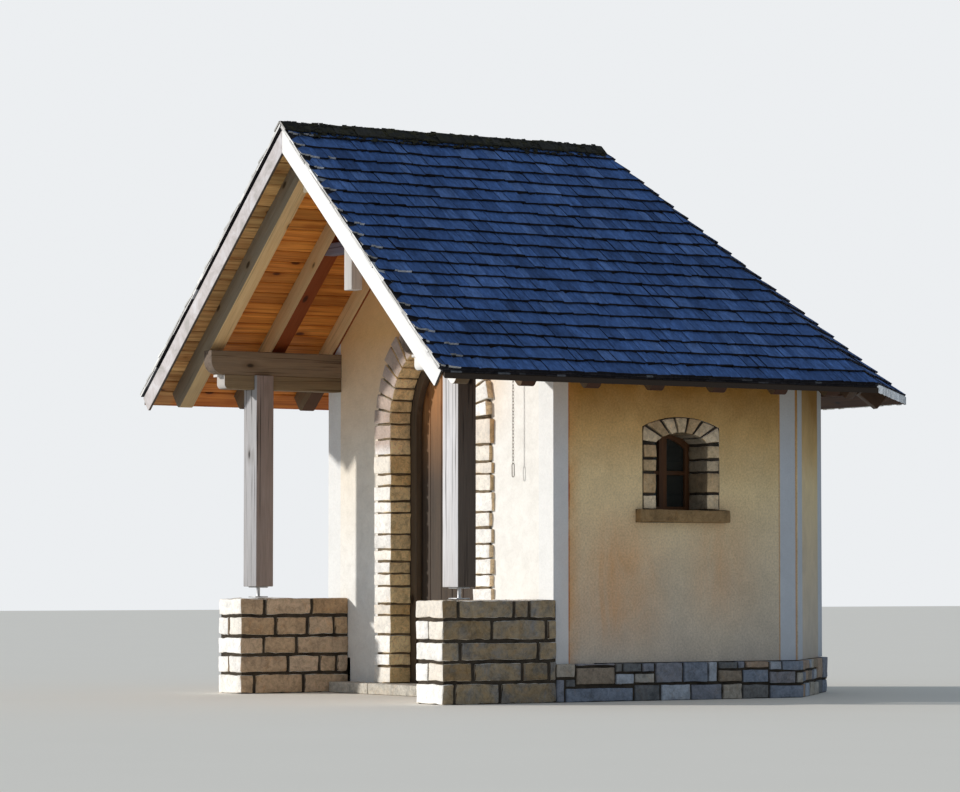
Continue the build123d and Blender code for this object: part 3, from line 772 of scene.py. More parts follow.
class ShingledFace:
    """One roof face with its shingles; its verge is the front end of a main slope, and None over the apse."""

    exposure = SLOPE / COURSES
    thick = 0.0155

    def __init__(self, soup, turn):
        self.soup, self.dice = soup, soup.dice
        self.turn = turn
        self.place, self.grain = roof_face(turn)
        self.region = face_region(turn, VERGE)
        self.low = min(t for t, s in self.region)
        self.high = max(t for t, s in self.region)
        self.verge = self.low if turn == 0 else self.high if turn == pi else None

    def add(self, outline, levels, spot, tint, slot):
        verts, faces = prism(outline, levels, spot)
        self.soup.add(verts, faces, tint, self.grain, slot)

    def flat(self, p, h):
        return on_roof(self.place, p[0], p[1], h)

    def course(self, number):
        """One row of shingles, ragged at the verge and with a chip here and there near it, whose faces are
        paler split wood with a painted highlight.
        """
        dice, verge = self.dice, self.verge
        butt = SLOPE - number * self.exposure
        if butt < 0.02:
            return
        upper = max(0.0, butt - self.exposure - 0.02)
        sway = dice.uniform(-0.003, 0.003)
        t = self.low - dice.uniform(0.0, 0.1)
        while t < self.high:
            width = dice.choice((0.06, 0.075, 0.09, 0.105, 0.13)) * dice.uniform(0.9, 1.1)
            gap = dice.uniform(0.0015, 0.0045)
            end = min(butt + sway + dice.uniform(-0.009, 0.005), SLOPE)
            twist = dice.uniform(-0.003, 0.003)
            lift = -dice.uniform(0.0, 0.003)
            ragged = dice.uniform(0.0, 0.007)
            left, right = t + gap, t + width
            away = abs((t + width / 2) - verge) if verge is not None else 9
            chipped = dice.random() < (0.5 if away < 0.08 else 0.22 if away < 0.25 else 0.0)
            if verge is not None:
                left = max(left, self.low + (ragged if verge == self.low else -1))
                right = min(right, self.high - (ragged if verge == self.high else -1))
            t += width
            if right - left < 0.02:
                continue
            outline = [(left, upper), (right, upper), (right, end - twist), (left, end + twist)]
            outline = clip(outline, self.region)
            if len(outline) < 3 or area(outline) < 0.0008:
                continue
            lean = dice.uniform(-0.002, 0.002)
            chip = dice.uniform(0.2, 0.6)
            if chipped and end - twist > upper + 0.05:
                cut = left + (right - left) * chip
                step = end - 0.012
                outline = clip([(left, upper), (right, upper), (right, end - twist), (cut, end), (cut, step),
                                (left, step + twist)], self.region)

            def spot(p, level):
                across = (p[0] - left) / (right - left) - 0.5
                fall = min(0.0, (p[1] - butt) / self.exposure * self.thick)
                top = min(-0.0002, fall + lift + lean * across * 2 - 0.0022 * (across * 2) ** 2)
                if verge is not None:
                    top += 0.013 * max(0.0, 1 - abs(p[0] - verge) / 0.16) ** 2
                return self.flat(p, top - level * (0.0135 + 0.005 * fall / self.thick))

            slots = [1, 0]
            for (a, b), (c, d) in zip(outline, outline[1:] + outline[:1]):
                ends = verge is not None and max(abs(a - verge), abs(c - verge)) < 0.02
                # chipped faces near the butt take the pale shingle ends: paler split wood and a painted
                # highlight
                shine = chipped and min(b, d) > end - 0.014
                slots.append(2 if ends or shine else 1)
            tint = min(0.84, max(0.0, dice.gauss(0.45, 0.22)))
            self.add(outline, (1.0, 0.0), spot, tint, slots)

    def ply(self, number):
        """Layer below the courses, whose uneven edges show at the eave and the verge."""
        dice = self.dice
        top, low = -0.0145 - 0.009 * number, -0.0225 - 0.0095 * number
        foot = SLOPE - top * tan(PITCH) - 0.001
        back = VERGE + 0.026
        under = face_region(self.turn, back, foot)
        solid = face_region(self.turn, back, foot - 0.03)
        self.add(solid, (low, top - 0.006 * (1 - number)), self.flat, 0.2, 1)
        if self.verge is None:
            return
        t = self.low
        while t < self.high:
            width = dice.uniform(0.03, 0.09)
            cut = foot - dice.uniform(0.0, 0.006)
            strip = [(t + 0.002, foot - 0.05), (t + width, foot - 0.05), (t + width, cut), (t + 0.002, cut)]
            strip = clip(strip, under)
            t += width
            if len(strip) > 2 and area(strip) > 0.0006:
                tint = dice.uniform(0.87, 0.91) if dice.random() < 0.10 else dice.uniform(0.0, 0.85)
                self.add(strip, (low, top), self.flat, tint, 1)
        self.verge_strips(*((-0.0005, -0.0115), (-0.0120, -0.0228))[number])

    def verge_strips(self, crest, base):
        """Pale ends of one ply along the verge."""
        dice = self.dice
        inward = 1 if self.turn == 0 else -1
        s = -dice.uniform(0.0, 0.1)
        while s < SLOPE - 0.02:
            s0, s1 = max(s, 0.0) + 0.0012, min(s + dice.uniform(0.08, 0.2), SLOPE - 0.001)
            s = s1
            if s1 - s0 < 0.02:
                continue
            near, far = self.verge + inward * dice.uniform(0.0, 0.006), self.verge + inward * 0.11

            def edge(p, level):
                h = (base, crest)[level]
                return self.flat(p, h if p[0] == near else min(h, -0.0235 + 0.003 * level))

            self.add([(near, s0), (far, s0), (far, s1), (near, s1)], (0, 1), edge, None, [1, 1, 1, 1, 1, 2])

    def eave_slats(self):
        """Short pale slats that hang along the eave of the apse."""
        dice = self.dice
        half = EAVE_PLANE * OCT
        t = -half
        while t < half - 0.004:
            width = min(dice.uniform(0.022, 0.06), half - t)
            back = dice.uniform(0.0, 0.005)
            slat = [(t + 0.0025, -0.014), (t + width, -0.014), (t + width, -back), (t + 0.0025, -back)]
            t += width
            deep = -0.0555 + dice.uniform(0.0, 0.004)
            self.add(slat, (deep, -0.0150),
                     lambda p, h: self.flat((p[0], SLOPE + p[1] - h * tan(PITCH) - 0.0006), h), None, 3)


def lay_shingles(name, turns, seed, replaced):
    """Courses of single shingles on one or more roof faces, over plies that show at the eave and verge."""
    soup = Soup(seed)
    for turn in turns:
        face = ShingledFace(soup, turn)
        for number in range(COURSES + 1):
            face.course(number)
        for number in range(2):
            face.ply(number)
        if face.verge is None:
            face.eave_slats()
    soup.build(name, ["shingle", "butt", "verge", "slat"], "shingles", replaced=replaced)


def lay_ridge():
    """Short cap boards along the ridge, lapped like scales and grown over with moss."""
    soup = Soup(21)
    dice = soup.dice
    steps, clumps = 6, 760
    for turn in (0, pi):
        place, grain = roof_face(turn)
        y = VERGE
        while y < APSE - 0.02:
            length = dice.uniform(0.14, 0.24)
            end = min(y + length + 0.03, APSE)
            t0, t1 = (y - APSE, end - APSE) if turn == 0 else (APSE - end, APSE - y)
            leg = 0.098 + dice.uniform(-0.014, 0.004)
            lift = dice.uniform(-0.005, 0.0)
            outline = [(t0, 0.0), (t1, 0.0)]
            outline += [(t1 + (t0 - t1) * i / steps, leg + dice.uniform(-0.010, 0.006))
                        for i in range(steps + 1)]
            outline[2] = (t1, leg)

            def spot(p, level):
                lap = (p[0] - t0) / (t1 - t0)
                lap = lap if turn == 0 else 1 - lap
                return place(p[0], p[1], 0.0150 * level + (1 - level) * 0.001 + (lift - 0.005 * lap) * level)

            verts, faces = prism(outline, (0.0, 1.0), spot)
            front = t0 if turn == 0 else t1
            slots = [0, 0]
            for (a, b), (c, d) in zip(outline, outline[1:] + outline[:1]):
                slots.append(1 if y == VERGE and max(abs(a - front), abs(c - front)) < 0.001 else 0)
            soup.add(verts, faces, dice.random(), grain, slots)
            y += length
    for i in range(clumps):
        y = dice.uniform(VERGE + 0.02, APSE - 0.02)
        turn = dice.choice((0, 0, pi))
        place, grain = roof_face(turn)
        s = dice.choice((dice.uniform(0.0, 0.03), dice.triangular(0.02, 0.150, 0.100)))
        t = y - APSE if turn == 0 else APSE - y
        size = dice.uniform(0.005, 0.017)
        base = 0.009 if s < 0.095 else 0.0
        rounded(soup, (-size, -size * dice.uniform(0.8, 2.0), -0.004), (size, size, size * 0.45), size * 0.5,
                0.03, size * 0.6, lambda a, b, c: on_roof(place, t + b, s + a, base + c),
                dice.uniform(0, 0.5), grain, 60)
    soup.build("ridge_capping", ["ridge", "verge"], "shingles", replaced=["ridge_cap"], smooth=40)


def lay_soffit(name, turns, seed, replaced):
    """Pine boards under the shingles, with a chamfer along each edge."""
    soup = Soup(seed)
    count, gap, chamfer = 26, 0.0018, 0.007
    width = SLOPE / count
    for turn in turns:
        place, down = roof_face(turn)
        grain = Matrix((down[1], down[0], down[2]))
        region = face_region(turn, -1.146 + 0.0185)
        for i in range(count):
            s0, s1 = i * width + gap, (i + 1) * width - gap
            last = i == count - 1
            wide = clip([(-9, s0), (9, s0), (9, s1), (-9, s1)], region)
            if len(wide) < 3:
                continue

            def spot(p, level):
                s, h = p[1], (-0.032, -0.0505, -0.0558)[level]
                if last and s > s1 - 0.001:
                    inset = 0.004 if turn in (0, pi) else 0.016
                    return on_roof(place, p[0], SLOPE - h * tan(PITCH) - inset, h)
                if level > 1:
                    s = max(s0 + chamfer, min(s1 - chamfer, s))
                return place(p[0], s, h)

            verts, faces = prism(wide, (0, 1, 2), spot)
            soup.add(verts, faces, None, grain)
    soup.build(name, ["pine"], "pine_boards", replaced=replaced)


APSE_TURNS = [pi / 4, pi / 2, 3 * pi / 4]
lay_shingles("shingles_right", [0], 11, ["roof_shingles_right"])
lay_shingles("shingles_left", [pi], 12, ["roof_shingles_left"])
lay_shingles("shingles_apse", APSE_TURNS, 13, ["apse_shingles"])
lay_ridge()
lay_soffit("soffit_right", [0], 31, ["roof_boards_right"])
lay_soffit("soffit_left", [pi], 32, ["roof_boards_left"])
lay_soffit("soffit_apse", APSE_TURNS, 33, ["roof_boards_apse"])


# Timbers
RIGHT_SLOPE, LEFT_SLOPE = (cos(PITCH), 0, -sin(PITCH)), (-cos(PITCH), 0, -sin(PITCH))


def outward(centre):
    """Down the slope, away from the ridge end, for the timbers over the apse."""
    away = Vector((centre.x, centre.y - FRONT - APSE, 0)).normalized()
    return away * cos(PITCH) + Vector((0, 0, -sin(PITCH)))


dress("rafters_right", "tan", RIGHT_SLOPE, Y, 0.004, seed=41, nose=0.026)
dress("rafters_left", "tan", LEFT_SLOPE, Y, 0.004, seed=42, nose=0.026)
dress("hip_rafters", "tail", outward, seed=43)
dress("apse_rafters", "tail", outward, seed=44)
dress("ridge_purlin", "tan", Y, seed=45)
dress("eave_purlins", "beam", Y, bevel=0.006, seed=46)
dress("porch_beams", "low_beam", Y, bevel=0.005, seed=47)
dress("posts", "grey", Z, X, 0.005, seed=48)
dress("collar_beam", "collar", X, bevel=0.006, seed=49)
dress("king_post", "post_white", Z, X, seed=50)
dress("bargeboards", "white",
      lambda centre: Vector(RIGHT_SLOPE if centre.x > 0 else LEFT_SLOPE), Y, 0.003, seed=51)
dress("post_feet", "steel", Z, X, 0.0015, seed=52)


def packing_boards():
    """Short ends of board that show between the purlins and the porch beams."""
    soup = Soup(53)
    for x in (-1.285, 1.285):
        rounded(soup, (x - 0.028, -0.940, 2.108), (x + 0.03, -0.862, 2.127), 0.003, 0.03, 0.002, at, 0.7,
                ALONG_X)
    soup.build("packing_boards", ["post_white"], "grey_timber", smooth=40)


packing_boards()


# Stonework
def mortar_block(soup, low, high, place=at, slot=1):
    """Plain core of mortar or plaster behind the stones."""
    (x0, y0, z0), (x1, y1, z1) = low, high
    outline = [(x0, y0), (x1, y0), (x1, y1), (x0, y1)]
    verts, faces = prism(outline, (z0, z1), lambda p, z: place(p[0], p[1], z))
    soup.add(verts, faces, 0.5, None, slot)


def turned(sign, low, high):
    """A stretch from low to high, or its mirror image for the sign -1."""
    return (low, high) if sign > 0 else (-high, -low)


LOW_ROWS = (0.129, 0.114, 0.114, 0.123, 0.114)
RIGHT_ROWS = ((0.12, 0.41, 0.504), (0.265, 0.415, 0.225, 0.055), (0.16, 0.665, 0.15), (0.42, 0.46, 0.08),
              (0.14, 0.47, 0.13, 0.225))
LEFT_ROWS = ((0.13, 0.44, 0.40), (0.43, 0.28, 0.155, 0.10), (0.215, 0.29, 0.46), (0.31, 0.275, 0.23, 0.12),
             (0.225, 0.425, 0.33))


def low_wall(name, sign, rows, seed, replaced):
    """Low porch wall of five courses, cornered by stones that go through to both faces."""
    soup = Soup(seed)
    dice = soup.dice
    inner, outer, length, top = 1.12, 1.44, 0.829, 0.638
    joint = 0.004
    z = 0.0
    gaps = (top - sum(LOW_ROWS)) / 4
    for row, (height, shares) in enumerate(zip(LOW_ROWS, rows)):
        y = -length
        for i, share in enumerate(shares):
            run = length * share / sum(shares)
            y0, y1 = y, y + run - (0.013 if i < len(shares) - 1 else 0.0)
            drop = dice.uniform(0.001, 0.005)
            if i == 0:
                middle = inner + (outer - inner) * (0.46 if sign > 0 else 0.55)
            else:
                middle = (inner + outer) / 2 + dice.uniform(-0.03, 0.03)
            through = i == 0 and row % 2 == 0
            halves = [(inner, middle - joint), (middle + joint, outer)]
            for stretch in [(inner, outer)] if through else halves:
                x0, x1 = turned(sign, *stretch)
                rounded(soup, (x0, y0, z), (x1, y1, z + height - drop), 0.011, 0.028, 0.009, warp=0.006)
            y += run
        z += height + gaps
    deep = 0.016
    low = (inner + deep, -length + deep, 0.0) if sign > 0 else (-outer + deep, -length + deep, 0.0)
    high = (outer - deep, 0.0, 0.624) if sign > 0 else (-inner - deep, 0.0, 0.624)
    mortar_block(soup, low, high)
    soup.build(name, ["lime", "mortar"], "limestone", replaced=replaced, smooth=50)


low_wall("low_wall_right", 1, RIGHT_ROWS, 61, ["porch_wall_right"])
low_wall("low_wall_left", -1, LEFT_ROWS, 62, ["porch_wall_left"])

JAMB_LEFT = (0.114, 0.084, 0.126, 0.126, 0.076, 0.117, 0.085, 0.079, 0.079, 0.10, 0.143, 0.077, 0.102, 0.077,
             0.126, 0.107, 0.1)
JAMB_RIGHT = (0.096, 0.105, 0.083, 0.086, 0.079, 0.088, 0.098, 0.084, 0.102, 0.092, 0.104, 0.098, 0.132,
              0.110, 0.079, 0.109, 0.1)


def door_surround():
    """Jamb stones of uneven height and the voussoirs of the round arch, over a core of mortar."""
    soup = Soup(71)
    dice = soup.dice
    mortar_ring = (DOOR_R + 0.019, STONE_R - 0.036)
    plaster_ring = (STONE_R - 0.038, STONE_R)
    for sign, heights in ((-1, JAMB_LEFT), (1, JAMB_RIGHT)):
        z = FLOOR
        for i, height in enumerate(heights):
            height = SPRING - z if i == len(heights) - 1 else height
            outer = STONE_R - dice.choice((0.0, 0.0, 0.006, 0.012, 0.022))
            proud = (0.036 if sign > 0 else 0.051) - dice.uniform(0, 0.011)
            x0, x1 = turned(sign, DOOR_R + dice.uniform(0, 0.006), outer)
            rounded(soup, (x0, -proud, z), (x1, STONE_BACK, z + height - 0.0065), 0.008, 0.03, 0.008,
                    warp=0.0045)
            z += height
        joint = -0.018 if sign > 0 else -0.030
        for ring, front, slot in ((mortar_ring, joint, 1), (plaster_ring, 0.0005, 2)):
            x0, x1 = turned(sign, *ring)
            mortar_block(soup, (x0, front, FLOOR), (x1, STONE_BACK, SPRING), slot=slot)
    middle = (DOOR_R + STONE_R) / 2
    angle = 0.0
    cuts = [dice.uniform(0.82, 1.18) for i in range(19)]
    for cut in cuts:
        sweep = pi * cut / sum(cuts)
        start, end = angle + 0.0070 / middle, angle + sweep - 0.0020 / middle
        outer = STONE_R - dice.choice((0.0, 0.006, 0.014, 0.024))
        proud = 0.051 - dice.uniform(0, 0.007)
        low = (start * middle, -proud, DOOR_R + dice.uniform(0, 0.005))
        rounded(soup, low, (end * middle, STONE_BACK, outer), 0.008, 0.032, 0.007,
                lambda a, y, r: at(r * cos(a / middle), y, SPRING + r * sin(a / middle)), warp=0.003)
        angle += sweep
    steps = 28
    turns = [pi * i / steps for i in range(steps + 1)]
    for (inner, outer), front, slot in ((mortar_ring, -0.030, 1), (plaster_ring, 0.0005, 2)):
        outline = [(outer * cos(a), outer * sin(a)) for a in turns]
        outline += [(inner * cos(a), inner * sin(a)) for a in reversed(turns)]
        verts = [at(x, y, SPRING + z) for y in (front, STONE_BACK) for x, z in outline]
        soup.add(verts, bent_caps(steps) + sides(len(outline)), 0.5, None, slot)
    soup.build("door_surround", ["lime", "pointing", "plaster"], "limestone",
               replaced=["door_jambs", "door_arch"], smooth=50)


door_surround()

WINDOW_AT, WINDOW_HALF, WINDOW_FOOT, WINDOW_SPRING, WINDOW_RISE = 0.967, 0.194, 1.2, 1.617, 0.064
WINDOW_BACK, WINDOW_CORE, WINDOW_FACE, WINDOW_RING = 1.2, 1.398, 1.412, 0.104
LEFT_HEIGHTS, RIGHT_HEIGHTS = (0.098, 0.138, 0.088, 0.093), (0.108, 0.138, 0.080, 0.091)


def arc_centre(half, spring, rise):
    """Radius of a flat arch and the height of its centre."""
    radius = (half * half + rise * rise) / (2 * rise)
    return radius, spring + rise - radius


def window_stones():
    """Jamb stones, voussoirs and sill of both windows."""
    soup, sills = Soup(81), Soup(82)
    dice = soup.dice
    outer_half = WINDOW_HALF + WINDOW_RING
    radius, centre = arc_centre(WINDOW_HALF, WINDOW_SPRING, WINDOW_RISE)
    far_radius, far_centre = arc_centre(outer_half, WINDOW_SPRING + WINDOW_RING, WINDOW_RISE)
    corner, count, steps = 1.30, 7, 18
    for sign in (-1, 1):
        def out(x, y, z):
            return at(sign * x, WINDOW_AT + y, z)

        for side, heights in ((-1, LEFT_HEIGHTS), (1, RIGHT_HEIGHTS)):
            z = WINDOW_FOOT
            for height in heights:
                y0, y1 = WINDOW_HALF + dice.uniform(0, 0.004), outer_half - dice.choice((0, 0.003, 0.006))
                y0, y1 = turned(side, y0, y1)
                high = (WINDOW_FACE - dice.uniform(0, 0.004), y1, z + height - 0.010)
                rounded(soup, (WINDOW_BACK, y0, z), high, 0.007, 0.03, 0.006, out, warp=0.003)
                z += height
            y0, y1 = turned(side, WINDOW_HALF + 0.014, outer_half - 0.002)
            mortar_block(soup, (WINDOW_BACK, y0, WINDOW_FOOT), (WINDOW_CORE, y1, WINDOW_SPRING + 0.004), out)

        def fan(x, share, depth):
            """Place between the arch's soffit and the surround's outline, which turns down at its corners."""
            low = share / corner
            inner = (WINDOW_HALF * low, centre + sqrt(radius ** 2 - (WINDOW_HALF * low) ** 2))
            high = max(-1.0, min(1.0, share))
            outer = (outer_half * high, far_centre + sqrt(far_radius ** 2 - (outer_half * high) ** 2)
                     - (abs(share) - abs(high)) / (corner - 1) * 0.098)
            y, z = [near + (far - near) * depth for near, far in zip(inner, outer)]
            return out(x, y, z)

        for i in range(count):
            a0, a1 = corner * (-1 + 2 * i / count), corner * (-1 + 2 * (i + 1) / count)
            rounded(soup, (WINDOW_BACK, a0 * 0.25 + 0.0055, dice.uniform(0, 0.003)),
                    (WINDOW_FACE - dice.uniform(0, 0.004), a1 * 0.25 - 0.0055,
                     WINDOW_RING - dice.choice((0, 0.002, 0.005))), 0.007, 0.022, 0.006,
                    lambda x, a, d: fan(x, max(-corner, min(corner, a / 0.25)), d / WINDOW_RING), warp=0.002)
        outline = [(corner * (-0.99 + 1.98 * i / steps), 0.97) for i in range(steps + 1)]
        outline += [(corner * (0.99 - 1.98 * i / steps), 0.13) for i in range(steps + 1)]
        verts = [fan(x, a, d) for x in (WINDOW_BACK, WINDOW_CORE) for a, d in outline]
        soup.add(verts, sides(len(outline)) + bent_caps(steps), 0.5, None, 1)
        rounded(sills, (1.25, -0.35, 1.116), (1.455, 0.35, WINDOW_FOOT), 0.008, 0.04, 0.006, out, warp=0.003)
    soup.build("window_stones", ["lime", "mortar"], "limestone", replaced=["window_surrounds"], smooth=50)
    sills.build("window_sill_stones", ["sill"], "limestone", replaced=["window_sills"], smooth=50)


window_stones()

# Stones of the side plinth: start, end, foot, top and hue
SIDE_PLINTH = (
    (0.004, 0.141, 0.152, 0.238, 4), (0.004, 0.062, 0.0, 0.142, 6), (0.074, 0.141, 0.096, 0.142, 0),
    (0.151, 0.434, 0.223, 0.238, 6), (0.151, 0.434, 0.108, 0.214, 1), (0.446, 0.493, 0.182, 0.238, 0),
    (0.503, 0.636, 0.182, 0.238, 0), (0.648, 0.736, 0.182, 0.238, 6), (0.446, 0.580, 0.106, 0.172, 3),
    (0.592, 0.736, 0.112, 0.172, 4), (0.750, 0.950, 0.112, 0.238, 6), (0.962, 1.145, 0.112, 0.238, 2),
    (1.157, 1.222, 0.114, 0.238, 3), (1.236, 1.378, 0.194, 0.238, 0), (1.388, 1.436, 0.194, 0.238, 6),
    (1.448, 1.626, 0.196, 0.238, 5), (1.236, 1.412, 0.110, 0.184, 1), (1.424, 1.626, 0.102, 0.186, 2),
    (1.640, 1.728, 0.182, 0.238, 3), (1.738, 1.904, 0.176, 0.238, 2), (1.640, 1.842, 0.094, 0.170, 6),
    (1.853, 1.904, 0.094, 0.166, 4), (0.074, 0.576, 0.0, 0.086, 2), (0.588, 0.777, 0.0, 0.100, 0),
    (0.790, 1.010, 0.0, 0.100, 3), (1.022, 1.256, 0.0, 0.098, 6), (1.268, 1.412, 0.0, 0.096, 4),
    (1.424, 1.628, 0.0, 0.090, 0), (1.640, 1.904, 0.0, 0.084, 2),
)
FOOT_ROW, MIDDLE_ROW, TOP_ROW = (0.0, 0.090), (0.101, 0.166), (0.177, 0.238)


def plinth_stones():
    """Mixed stones of the plinth on the sides and round the apse, over near-black mortar that is painted
    shade.
    """
    soup = Soup(91)
    dice = soup.dice

    def block(place, a, b, low, high, hue):
        proud = dice.uniform(0.0, 0.007)
        tint = min(1.0, max(0.0, hue / 6 + dice.uniform(-0.03, 0.03)))
        rounded(soup, (-0.14, a, low), (-proud, b, high), 0.007, 0.03, 0.007, place, tint, warp=0.003)

    def core(place, length):
        mortar_block(soup, (-0.34, 0.0, 0.0), (-0.022, length, 0.232), place)

    def run(length, place):
        """Fill one straight stretch with stones one, two or three rows high."""
        y = 0.0
        while y < length - 0.01:
            width = dice.uniform(0.12, 0.27)
            if length - y - width < 0.12:
                width = length - y
            style = dice.choice((0, 1, 1, 2))
            if style == 0:
                stack = [(*FOOT_ROW, 1), (MIDDLE_ROW[0], TOP_ROW[1], 1)]
            elif style == 1:
                stack = [(*FOOT_ROW, 1), (*MIDDLE_ROW, dice.choice((1, 2))), (*TOP_ROW, dice.choice((1, 2)))]
            else:
                stack = [(FOOT_ROW[0], FOOT_ROW[1] - 0.012, 1), (FOOT_ROW[1], TOP_ROW[1], 1)]
            for low, high, parts in stack:
                wobble = dice.uniform(-0.004, 0.004)
                cut = y + width * dice.uniform(0.35, 0.65)
                whole = parts == 1 or width < 0.16
                ends = [(y, y + width - 0.010)] if whole else [(y, cut - 0.010), (cut, y + width - 0.010)]
                for a, b in ends:
                    block(place, a, b, low + (wobble if low else 0), min(0.239, high + wobble),
                          dice.randrange(7))
            y += width
        core(place, length)

    half = WALL + 0.04
    edge = 2 * half * OCT
    slant = radians(45)
    out, along = Vector((cos(slant), sin(slant))), Vector((-sin(slant), cos(slant)))
    for sign in (-1, 1):
        def straight(d, a, z):
            return at(sign * (half + d), a, z)

        def oblique(d, a, z):
            spot = out * (half + d) + along * (a - edge / 2)
            return at(sign * spot.x, APSE + spot.y, z)

        for stone_row in SIDE_PLINTH:
            block(straight, *stone_row)
        core(straight, APSE + half * OCT)
        run(edge, oblique)
    run(edge, lambda d, a, z: at(a - edge / 2, APSE + half + d, z))
    soup.build("plinth_stones", ["rubble", "mortar"], "rubble",
               replaced=["plinth_left", "plinth_right", "plinth_apse"], smooth=50)


plinth_stones()


def flagstones():
    """Stone slabs of the doorstep and of the floor inside."""
    step = Soup(95)
    x = -1.12
    for width in (0.52, 0.64, 0.56, 0.52):
        rounded(step, (x, -0.16, 0.0), (x + width - 0.004, -0.001, FLOOR), 0.008, 0.07, 0.004)
        x += width
    for x0, x1 in ((-0.72, 0.0), (0.004, 0.72)):
        rounded(step, (x0, 0.001, 0.0), (x1, STONE_BACK, 0.0735), 0.006, 0.07, 0.003)
    step.build("doorstep_stones", ["flag"], "limestone", replaced=["doorstep"], smooth=50)
    floor = Soup(96)
    inner = WALL - 0.3
    corner, back = APSE + inner * OCT, APSE + inner
    room = [(-inner, 0.3), (inner, 0.3), (inner, corner), (inner * OCT, back), (-inner * OCT, back),
            (-inner, corner)]
    for i in range(-3, 3):
        for j in range(6):
            x0, y0 = i * 0.38, 0.12 + j * 0.4
            tile = [(x0, y0), (x0 + 0.375, y0), (x0 + 0.375, y0 + 0.395), (x0, y0 + 0.395)]
            door = clip(tile, [(-0.62, 0.12), (0.62, 0.12), (0.62, 0.3), (-0.62, 0.3)])
            for outline in (clip(tile, room), door):
                if len(outline) > 2 and area(outline) > 0.001:
                    verts, faces = prism(outline, (0.0, 0.073), lambda p, z: at(p[0], p[1], z))
                    floor.add(verts, faces)
    floor.build("floor_tiles", ["flag"], "limestone", replaced=["floor_slab"])


flagstones()


# Door, windows and chain
def door_boards():
    """Upright boards of the arched leaf, with a groove between neighbours, and the lever of its latch."""
    soup = Soup(101)
    half, foot = 0.48, 0.082
    count, steps = 7, 8
    for i in range(count):
        x0, x1 = -half + 2 * half * i / count, -half + 2 * half * (i + 1) / count
        x0, x1 = x0 + (0.0012 if i else 0), x1 - (0.0012 if i < count - 1 else 0)
        outline = [(x0, foot), (x1, foot)]
        for j in range(steps + 1):
            x = x1 + (x0 - x1) * j / steps
            outline.append((x, SPRING + sqrt(max(0.0, half * half - x * x))))

        def spot(p, level):
            inset = 0.005 if level in (0, 3) else 0.0
            x = max(x0 + inset, min(x1 - inset, p[0]))
            return at(x, (0.172, 0.177, 0.212, 0.217)[level], p[1])

        verts, faces = prism(outline, (0, 1, 2, 3), spot)
        soup.add(verts, faces, None, ALONG_Z)
    soup.build("door_boards", ["door"], "door_wood", "door", ["door_leaf"])
    latch = Soup(102)
    for low, high, radius, step in (((0.372, 0.1665, 1.0), (0.412, 0.1725, 1.2), 0.002, 0.05),
                                    ((0.384, 0.135, 1.11), (0.400, 0.170, 1.126), 0.004, 0.02),
                                    ((0.300, 0.128, 1.110), (0.402, 0.142, 1.126), 0.006, 0.02)):
        rounded(latch, low, high, radius, step, tint=0.5)
    latch.build("door_latch", ["iron"], "ironwork", "door", smooth=40)


def window_bars():
    """Cross bars of both sashes, either side of the upright bar."""
    soup = Soup(107)
    for sign in (-1, 1):
        x0, x1 = turned(sign, 1.155, 1.197)
        for side in (-1, 1):
            y0, y1 = turned(side, 0.029, 0.175)
            rounded(soup, (x0, WINDOW_AT + y0, 1.424), (x1, WINDOW_AT + y1, 1.450), 0.003, 0.08, 0.0, at, 0.4,
                    ALONG_Y)
    soup.build("window_bars", ["sash"], "sash_wood", smooth=40)


def chain():
    """Oval links that hang from the porch ceiling, with a longer handle at the end."""
    soup = Soup(111)
    x, y, top, last, foot = 1.033, -0.06, 2.715, 1.480, 1.399
    pitch, length, width, overlap = 0.0205, 0.026, 0.012, 0.012
    ring, tube = 14, 6

    def link(z, height, wide, wire, crosswise):
        verts, faces = [], []
        straight = height / 2 - wide / 2
        for i in range(ring):
            a = 2 * pi * i / ring
            shift = straight if sin(a) > 0 else -straight
            centre = Vector((cos(a) * wide / 2, 0, sin(a) * wide / 2 + shift))
            out = Vector((cos(a), 0, sin(a)))
            for j in range(tube):
                b = 2 * pi * j / tube
                p = centre + out * cos(b) * wire + Vector((0, sin(b) * wire, 0))
                p = Vector((p.y, p.x, p.z)) if crosswise else p
                verts.append(at(x + p.x, y + p.y, z + p.z))
                this, following = i * tube, (i + 1) % ring * tube
                faces.append([this + j, following + j, following + (j + 1) % tube, this + (j + 1) % tube])
        soup.add(verts, faces, 0.5)

    z, crosswise = top - overlap, False
    while z > last:
        link(z, length, width, 0.0015, crosswise)
        z -= pitch
        crosswise = not crosswise
    link((z + overlap + foot) / 2, z + overlap - foot, 0.026, 0.0030, crosswise)
    soup.build("chain_links", ["chain"], "ironwork", replaced=["hanging_chain"], smooth=60)


door_boards()
dress("door_frame", "frame", Z, X, 0.004, seed=103)
dress("door_straps", "iron", X, bevel=0.001, body="door", seed=104)
dress("door_pintles", "iron", Z, X, 0.001, seed=105)
dress("window_sashes", "sash", Z, Y, 0.003, seed=106)
window_bars()
chain()

PLAIN_WALLS = ("front_wall_left", "front_wall_right", "front_wall_gable", "side_wall_left", "side_wall_right",
               "apse_wall_left", "apse_wall_right", "apse_wall_back")
for node in (*PLAIN_WALLS, "window_glass"):
    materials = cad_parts[node].data.materials
    materials.clear()
    materials.append(M["plaster" if node in PLAIN_WALLS else "glass"])


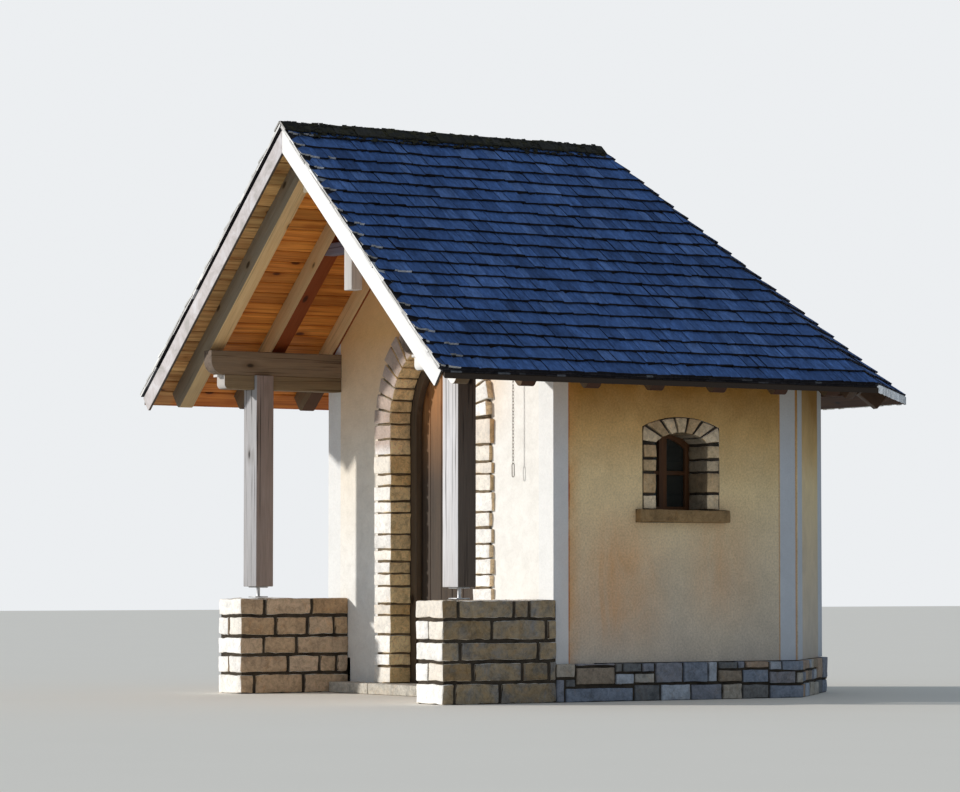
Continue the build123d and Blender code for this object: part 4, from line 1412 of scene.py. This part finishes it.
# Stage, light and camera
def studio():
    """Pale floor, soft sky with a plain pale backdrop, and a low sun from the front left."""
    s = Shader("studio_floor", 0.95, 0.1)
    cloud = s.noise(s.place(), 0.8, 2.0)
    mesh = bpy.data.meshes.new("studio_floor")
    size = 60
    corners = [(-size, -size, 0), (size, -size, 0), (size, size, 0), (-size, size, 0)]
    mesh.from_pydata(corners, [], [(0, 1, 2, 3)])
    mesh.materials.append(s.finish(s.ramp(cloud, (0.0, (0.87, 0.82, 0.74)), (1.0, (0.89, 0.84, 0.76)))))
    plane = bpy.data.objects.new("studio_floor", mesh)
    scene.collection.objects.link(plane)

    world = bpy.data.worlds.new("studio_world")
    scene.world = world
    world.use_nodes = True
    nodes, links = world.node_tree.nodes, world.node_tree.links
    nodes.clear()
    out = nodes.new("ShaderNodeOutputWorld")
    blend = nodes.new("ShaderNodeMixShader")
    path = nodes.new("ShaderNodeLightPath")
    seen = nodes.new("ShaderNodeMath")
    seen.operation = "MAXIMUM"
    links.new(path.outputs["Is Camera Ray"], seen.inputs[0])
    links.new(path.outputs["Is Transmission Ray"], seen.inputs[1])
    links.new(seen.outputs[0], blend.inputs[0])
    for i, (colour, strength) in enumerate((((0.70, 0.84, 1.0, 1), 0.42), ((0.84, 0.86, 0.88, 1), 1.0))):
        light = nodes.new("ShaderNodeBackground")
        light.inputs[0].default_value = colour
        light.inputs[1].default_value = strength
        links.new(light.outputs[0], blend.inputs[i + 1])
    links.new(blend.outputs[0], out.inputs[0])

    lamp = bpy.data.lights.new("key", "SUN")
    lamp.energy = 3.15
    lamp.angle = radians(2.5)
    lamp.color = (1.0, 0.965, 0.91)
    key = bpy.data.objects.new("key", lamp)
    scene.collection.objects.link(key)
    key.rotation_euler = Vector((0.507, 0.811, -0.30)).to_track_quat("-Z", "Y").to_euler()


def camera():
    """Camera at the photo's angle, with its focal length and the picture's width in pixels."""
    focal, width = 3629.5, 960
    spot, rise, turn = at(20.167, -12.317, 0.760), radians(2.89), radians(57.88)
    data = bpy.data.cameras.new("camera")
    data.sensor_width = 36
    data.lens = focal * data.sensor_width / width
    data.clip_end = 500
    eye = bpy.data.objects.new("camera", data)
    eye.location = spot
    eye.rotation_euler = (pi / 2 + rise, 0, turn)
    scene.collection.objects.link(eye)
    scene.camera = eye


studio()
camera()
scene.view_settings.view_transform = "Standard"
